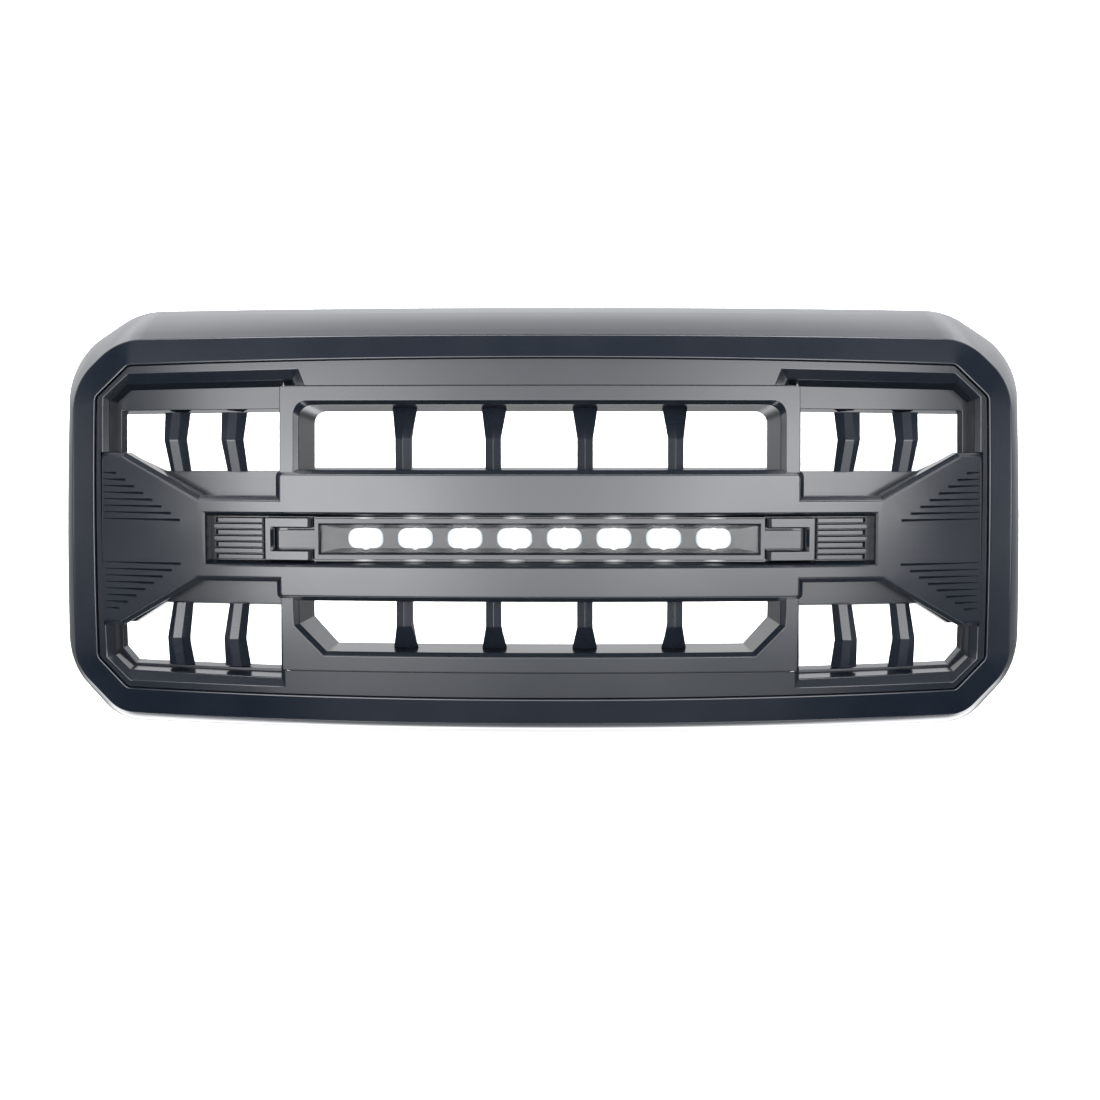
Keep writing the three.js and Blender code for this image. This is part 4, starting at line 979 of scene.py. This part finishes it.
for name, material, slot, bevel in (
    ("lens_gasket", RUBBER, "rubber", 0.0003), ("led_board", BOARD, "board", 0.0002),
    ("lamp_housing", ALUMINIUM, "aluminium", 0.0004), ("cable_gland", RUBBER, "rubber", 0.0006),
    ("breather_plug", RUBBER, "rubber", 0.0008), ("lamp_end_cap_left", LAMP, "lamp_body", 0.0008),
    ("lamp_end_cap_right", LAMP, "lamp_body", 0.0008),
):
    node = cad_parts[name]
    node.data.materials.clear()
    node.data.materials.append(material)
    edge = node.modifiers.new("edge", "BEVEL")
    edge.width = bevel
    edge.segments = 2
for name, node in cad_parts.items():
    if "screw" in name or "bracket" in name:
        node.data.materials.clear()
        node.data.materials.append(STEEL)
        edge = node.modifiers.new("edge", "BEVEL")
        edge.width = 0.0004
        edge.segments = 2

# ---------------------------------------------------------------- camera

FLOOR_Z = cad_low.z - 0.0002
CAMERA_PLACE = (0.0442, -2.0062, 0.1021)
CAMERA_AIM = (0.0141, -0.0894, -0.0347)
LENS_LENGTH = 50.81
SENSOR_WIDTH = 36
camera_data = bpy.data.cameras.new("camera")
camera_data.lens = LENS_LENGTH
camera_data.sensor_width = SENSOR_WIDTH
camera = bpy.data.objects.new("camera", camera_data)
bpy.context.scene.collection.objects.link(camera)
camera.location = CAMERA_PLACE
aim = Vector(CAMERA_AIM) - camera.location
camera.rotation_euler = aim.to_track_quat("-Z", "Y").to_euler()
bpy.context.scene.camera = camera

# ---------------------------------------------------------------- studio


RADIANCE = 12.0


def studio_world():
    """A studio round the grille: soft boxes on both sides in front, and dimmer panels behind."""
    world = bpy.data.worlds.new("studio")
    bpy.context.scene.world = world
    world.use_nodes = True
    tree = world.node_tree
    background = tree.nodes["Background"]

    def link(a, b):
        tree.links.new(a, b)

    def curve(value, points):
        node = tree.nodes.new("ShaderNodeFloatCurve")
        line = node.mapping.curves[0]
        while len(line.points) < len(points):
            line.points.new(0.5, 0.5)
        for point, place in zip(line.points, points):
            point.location = place
            point.handle_type = "AUTO_CLAMPED"
        node.mapping.update()
        link(value, node.inputs["Value"])
        return node.outputs["Value"]

    def math_node(kind, a, b=None, b_value=None):
        node = tree.nodes.new("ShaderNodeMath")
        node.operation = kind
        link(a, node.inputs[0])
        if b is not None:
            link(b, node.inputs[1])
        if b_value is not None:
            node.inputs[1].default_value = b_value
        return node.outputs[0]

    def scaled(value, low, high):
        node = tree.nodes.new("ShaderNodeMapRange")
        node.inputs["From Min"].default_value = low
        node.inputs["From Max"].default_value = high
        link(value, node.inputs["Value"])
        return node.outputs["Result"]

    def lobe(towards, spread, strength):
        """A soft round light in that direction, spread over that many degrees."""
        node = tree.nodes.new("ShaderNodeVectorMath")
        node.operation = "DOT_PRODUCT"
        link(direction, node.inputs[0])
        node.inputs[1].default_value = towards
        near = tree.nodes.new("ShaderNodeMapRange")
        near.interpolation_type = "SMOOTHSTEP"
        near.inputs["From Min"].default_value = math.cos(math.radians(spread))
        near.inputs["To Max"].default_value = strength
        link(node.outputs["Value"], near.inputs["Value"])
        return near.outputs["Result"]

    direction = tree.nodes.new("ShaderNodeTexCoord").outputs["Generated"]
    split = tree.nodes.new("ShaderNodeSeparateXYZ")
    link(direction, split.inputs[0])
    height = scaled(split.outputs["Z"], -1, 1)
    rear = scaled(split.outputs["Y"], -0.15, 0.25)
    # the soft boxes lean: their outer edges are farther out at the top than at the bottom
    sideways = math_node("ABSOLUTE", split.outputs["X"])
    lean = math_node("MULTIPLY", split.outputs["Z"], b_value=-0.22)
    # brightness by the sideways and upward parts of the direction, as a part of RADIANCE
    front_across = curve(math_node("ADD", sideways, lean), [
        (0, 0.50), (0.1, 0.56), (0.22, 0.86), (0.34, 1.0), (0.46, 0.98), (0.50, 0.75), (0.545, 0.1),
        (0.59, 0.04), (0.8, 0.04), (1, 0.04),
    ])
    front_height = curve(height, [
        (0, 0.02), (0.2, 0.05), (0.28, 0.09), (0.32, 0.17), (0.345, 0.26), (0.37, 0.38), (0.42, 0.80),
        (0.5, 1.0), (0.57, 0.85), (0.62, 0.58), (0.68, 0.34), (0.76, 0.12), (0.85, 0.04), (1, 0.04),
    ])
    # narrow strips high overhead and low down, which draw bright lines along the rounded edges
    edge_height = curve(height, [
        (0, 0), (0.012, 0), (0.018, 0.5), (0.034, 0.5), (0.04, 0),
        (0.95, 0), (0.956, 1), (0.98, 1), (0.986, 0), (1, 0),
    ])
    rear_height = curve(height, [
        (0, 0.03), (0.12, 0.03), (0.16, 0.08), (0.2, 0.31), (0.25, 0.31), (0.33, 0.05), (0.42, 0.02),
        (0.5, 0.025), (0.56, 0.07), (0.66, 0.10), (0.74, 0.14), (0.8, 0.22), (0.84, 0.22),
        (0.895, 0.15), (0.95, 0.14), (1, 0.05),
    ])
    front = math_node("MULTIPLY", front_across, front_height)
    shaded = math_node("SUBTRACT", lobe((0.37, -0.9, -0.24), 17, 0.45), b_value=1.0)
    front = math_node("MULTIPLY", front, math_node("MULTIPLY", shaded, b_value=-1.0))
    front = math_node("ADD", front, math_node("MULTIPLY", edge_height, b_value=1.2))
    keep = math_node("SUBTRACT", rear, b_value=1.0)
    inverse = math_node("MULTIPLY", keep, b_value=-1.0)
    total = math_node("ADD", math_node("MULTIPLY", front, inverse), math_node("MULTIPLY", rear_height, rear))
    for towards, spread, strength in (
        ((0.985, -0.17, 0.0), 10, 0.7), ((-0.985, -0.17, 0.0), 10, 0.3),
        ((0.42, 0.9, 0.0), 13, 0.03), ((-0.42, 0.9, 0.0), 13, 0.03),
    ):
        total = math_node("ADD", total, lobe(towards, spread, strength))
    link(math_node("MULTIPLY", total, b_value=RADIANCE), background.inputs["Strength"])
    background.inputs["Color"].default_value = (0.97, 0.98, 1.0, 1)


def white_surface(name, strength):
    n = Nodes(name)
    mottle = n.range(n.noise(3, 3), 0, 1)
    n.link(n.blend(mottle, (0.93, 0.93, 0.93), (0.95, 0.95, 0.95)), n.shader.inputs["Base Color"])
    n.shader.inputs["Roughness"].default_value = 0.9
    n.shader.inputs["Emission Color"].default_value = (1, 1, 1, 1)
    n.shader.inputs["Emission Strength"].default_value = strength
    return n.material


def studio_room():
    """A pale floor and a white dome. Only the camera sees the dome; the light comes from the studio world."""
    bpy.ops.mesh.primitive_uv_sphere_add(segments=64, ring_count=32, radius=40)
    dome = bpy.context.object
    dome.name = "dome"
    dome.data.materials.append(white_surface("dome_white", 1.05))
    bpy.ops.mesh.primitive_circle_add(vertices=96, radius=39, fill_type="NGON", location=(0, 0, FLOOR_Z))
    floor = bpy.context.object
    floor.name = "floor"
    floor.data.materials.append(white_surface("floor_pale", 0.75))
    for piece in (dome, floor):
        piece.visible_glossy = False
        piece.visible_diffuse = False
        piece.visible_shadow = False
        piece.visible_transmission = True


studio_world()
studio_room()
bpy.context.scene.view_settings.view_transform = "Standard"
bpy.context.scene.view_settings.look = "None"
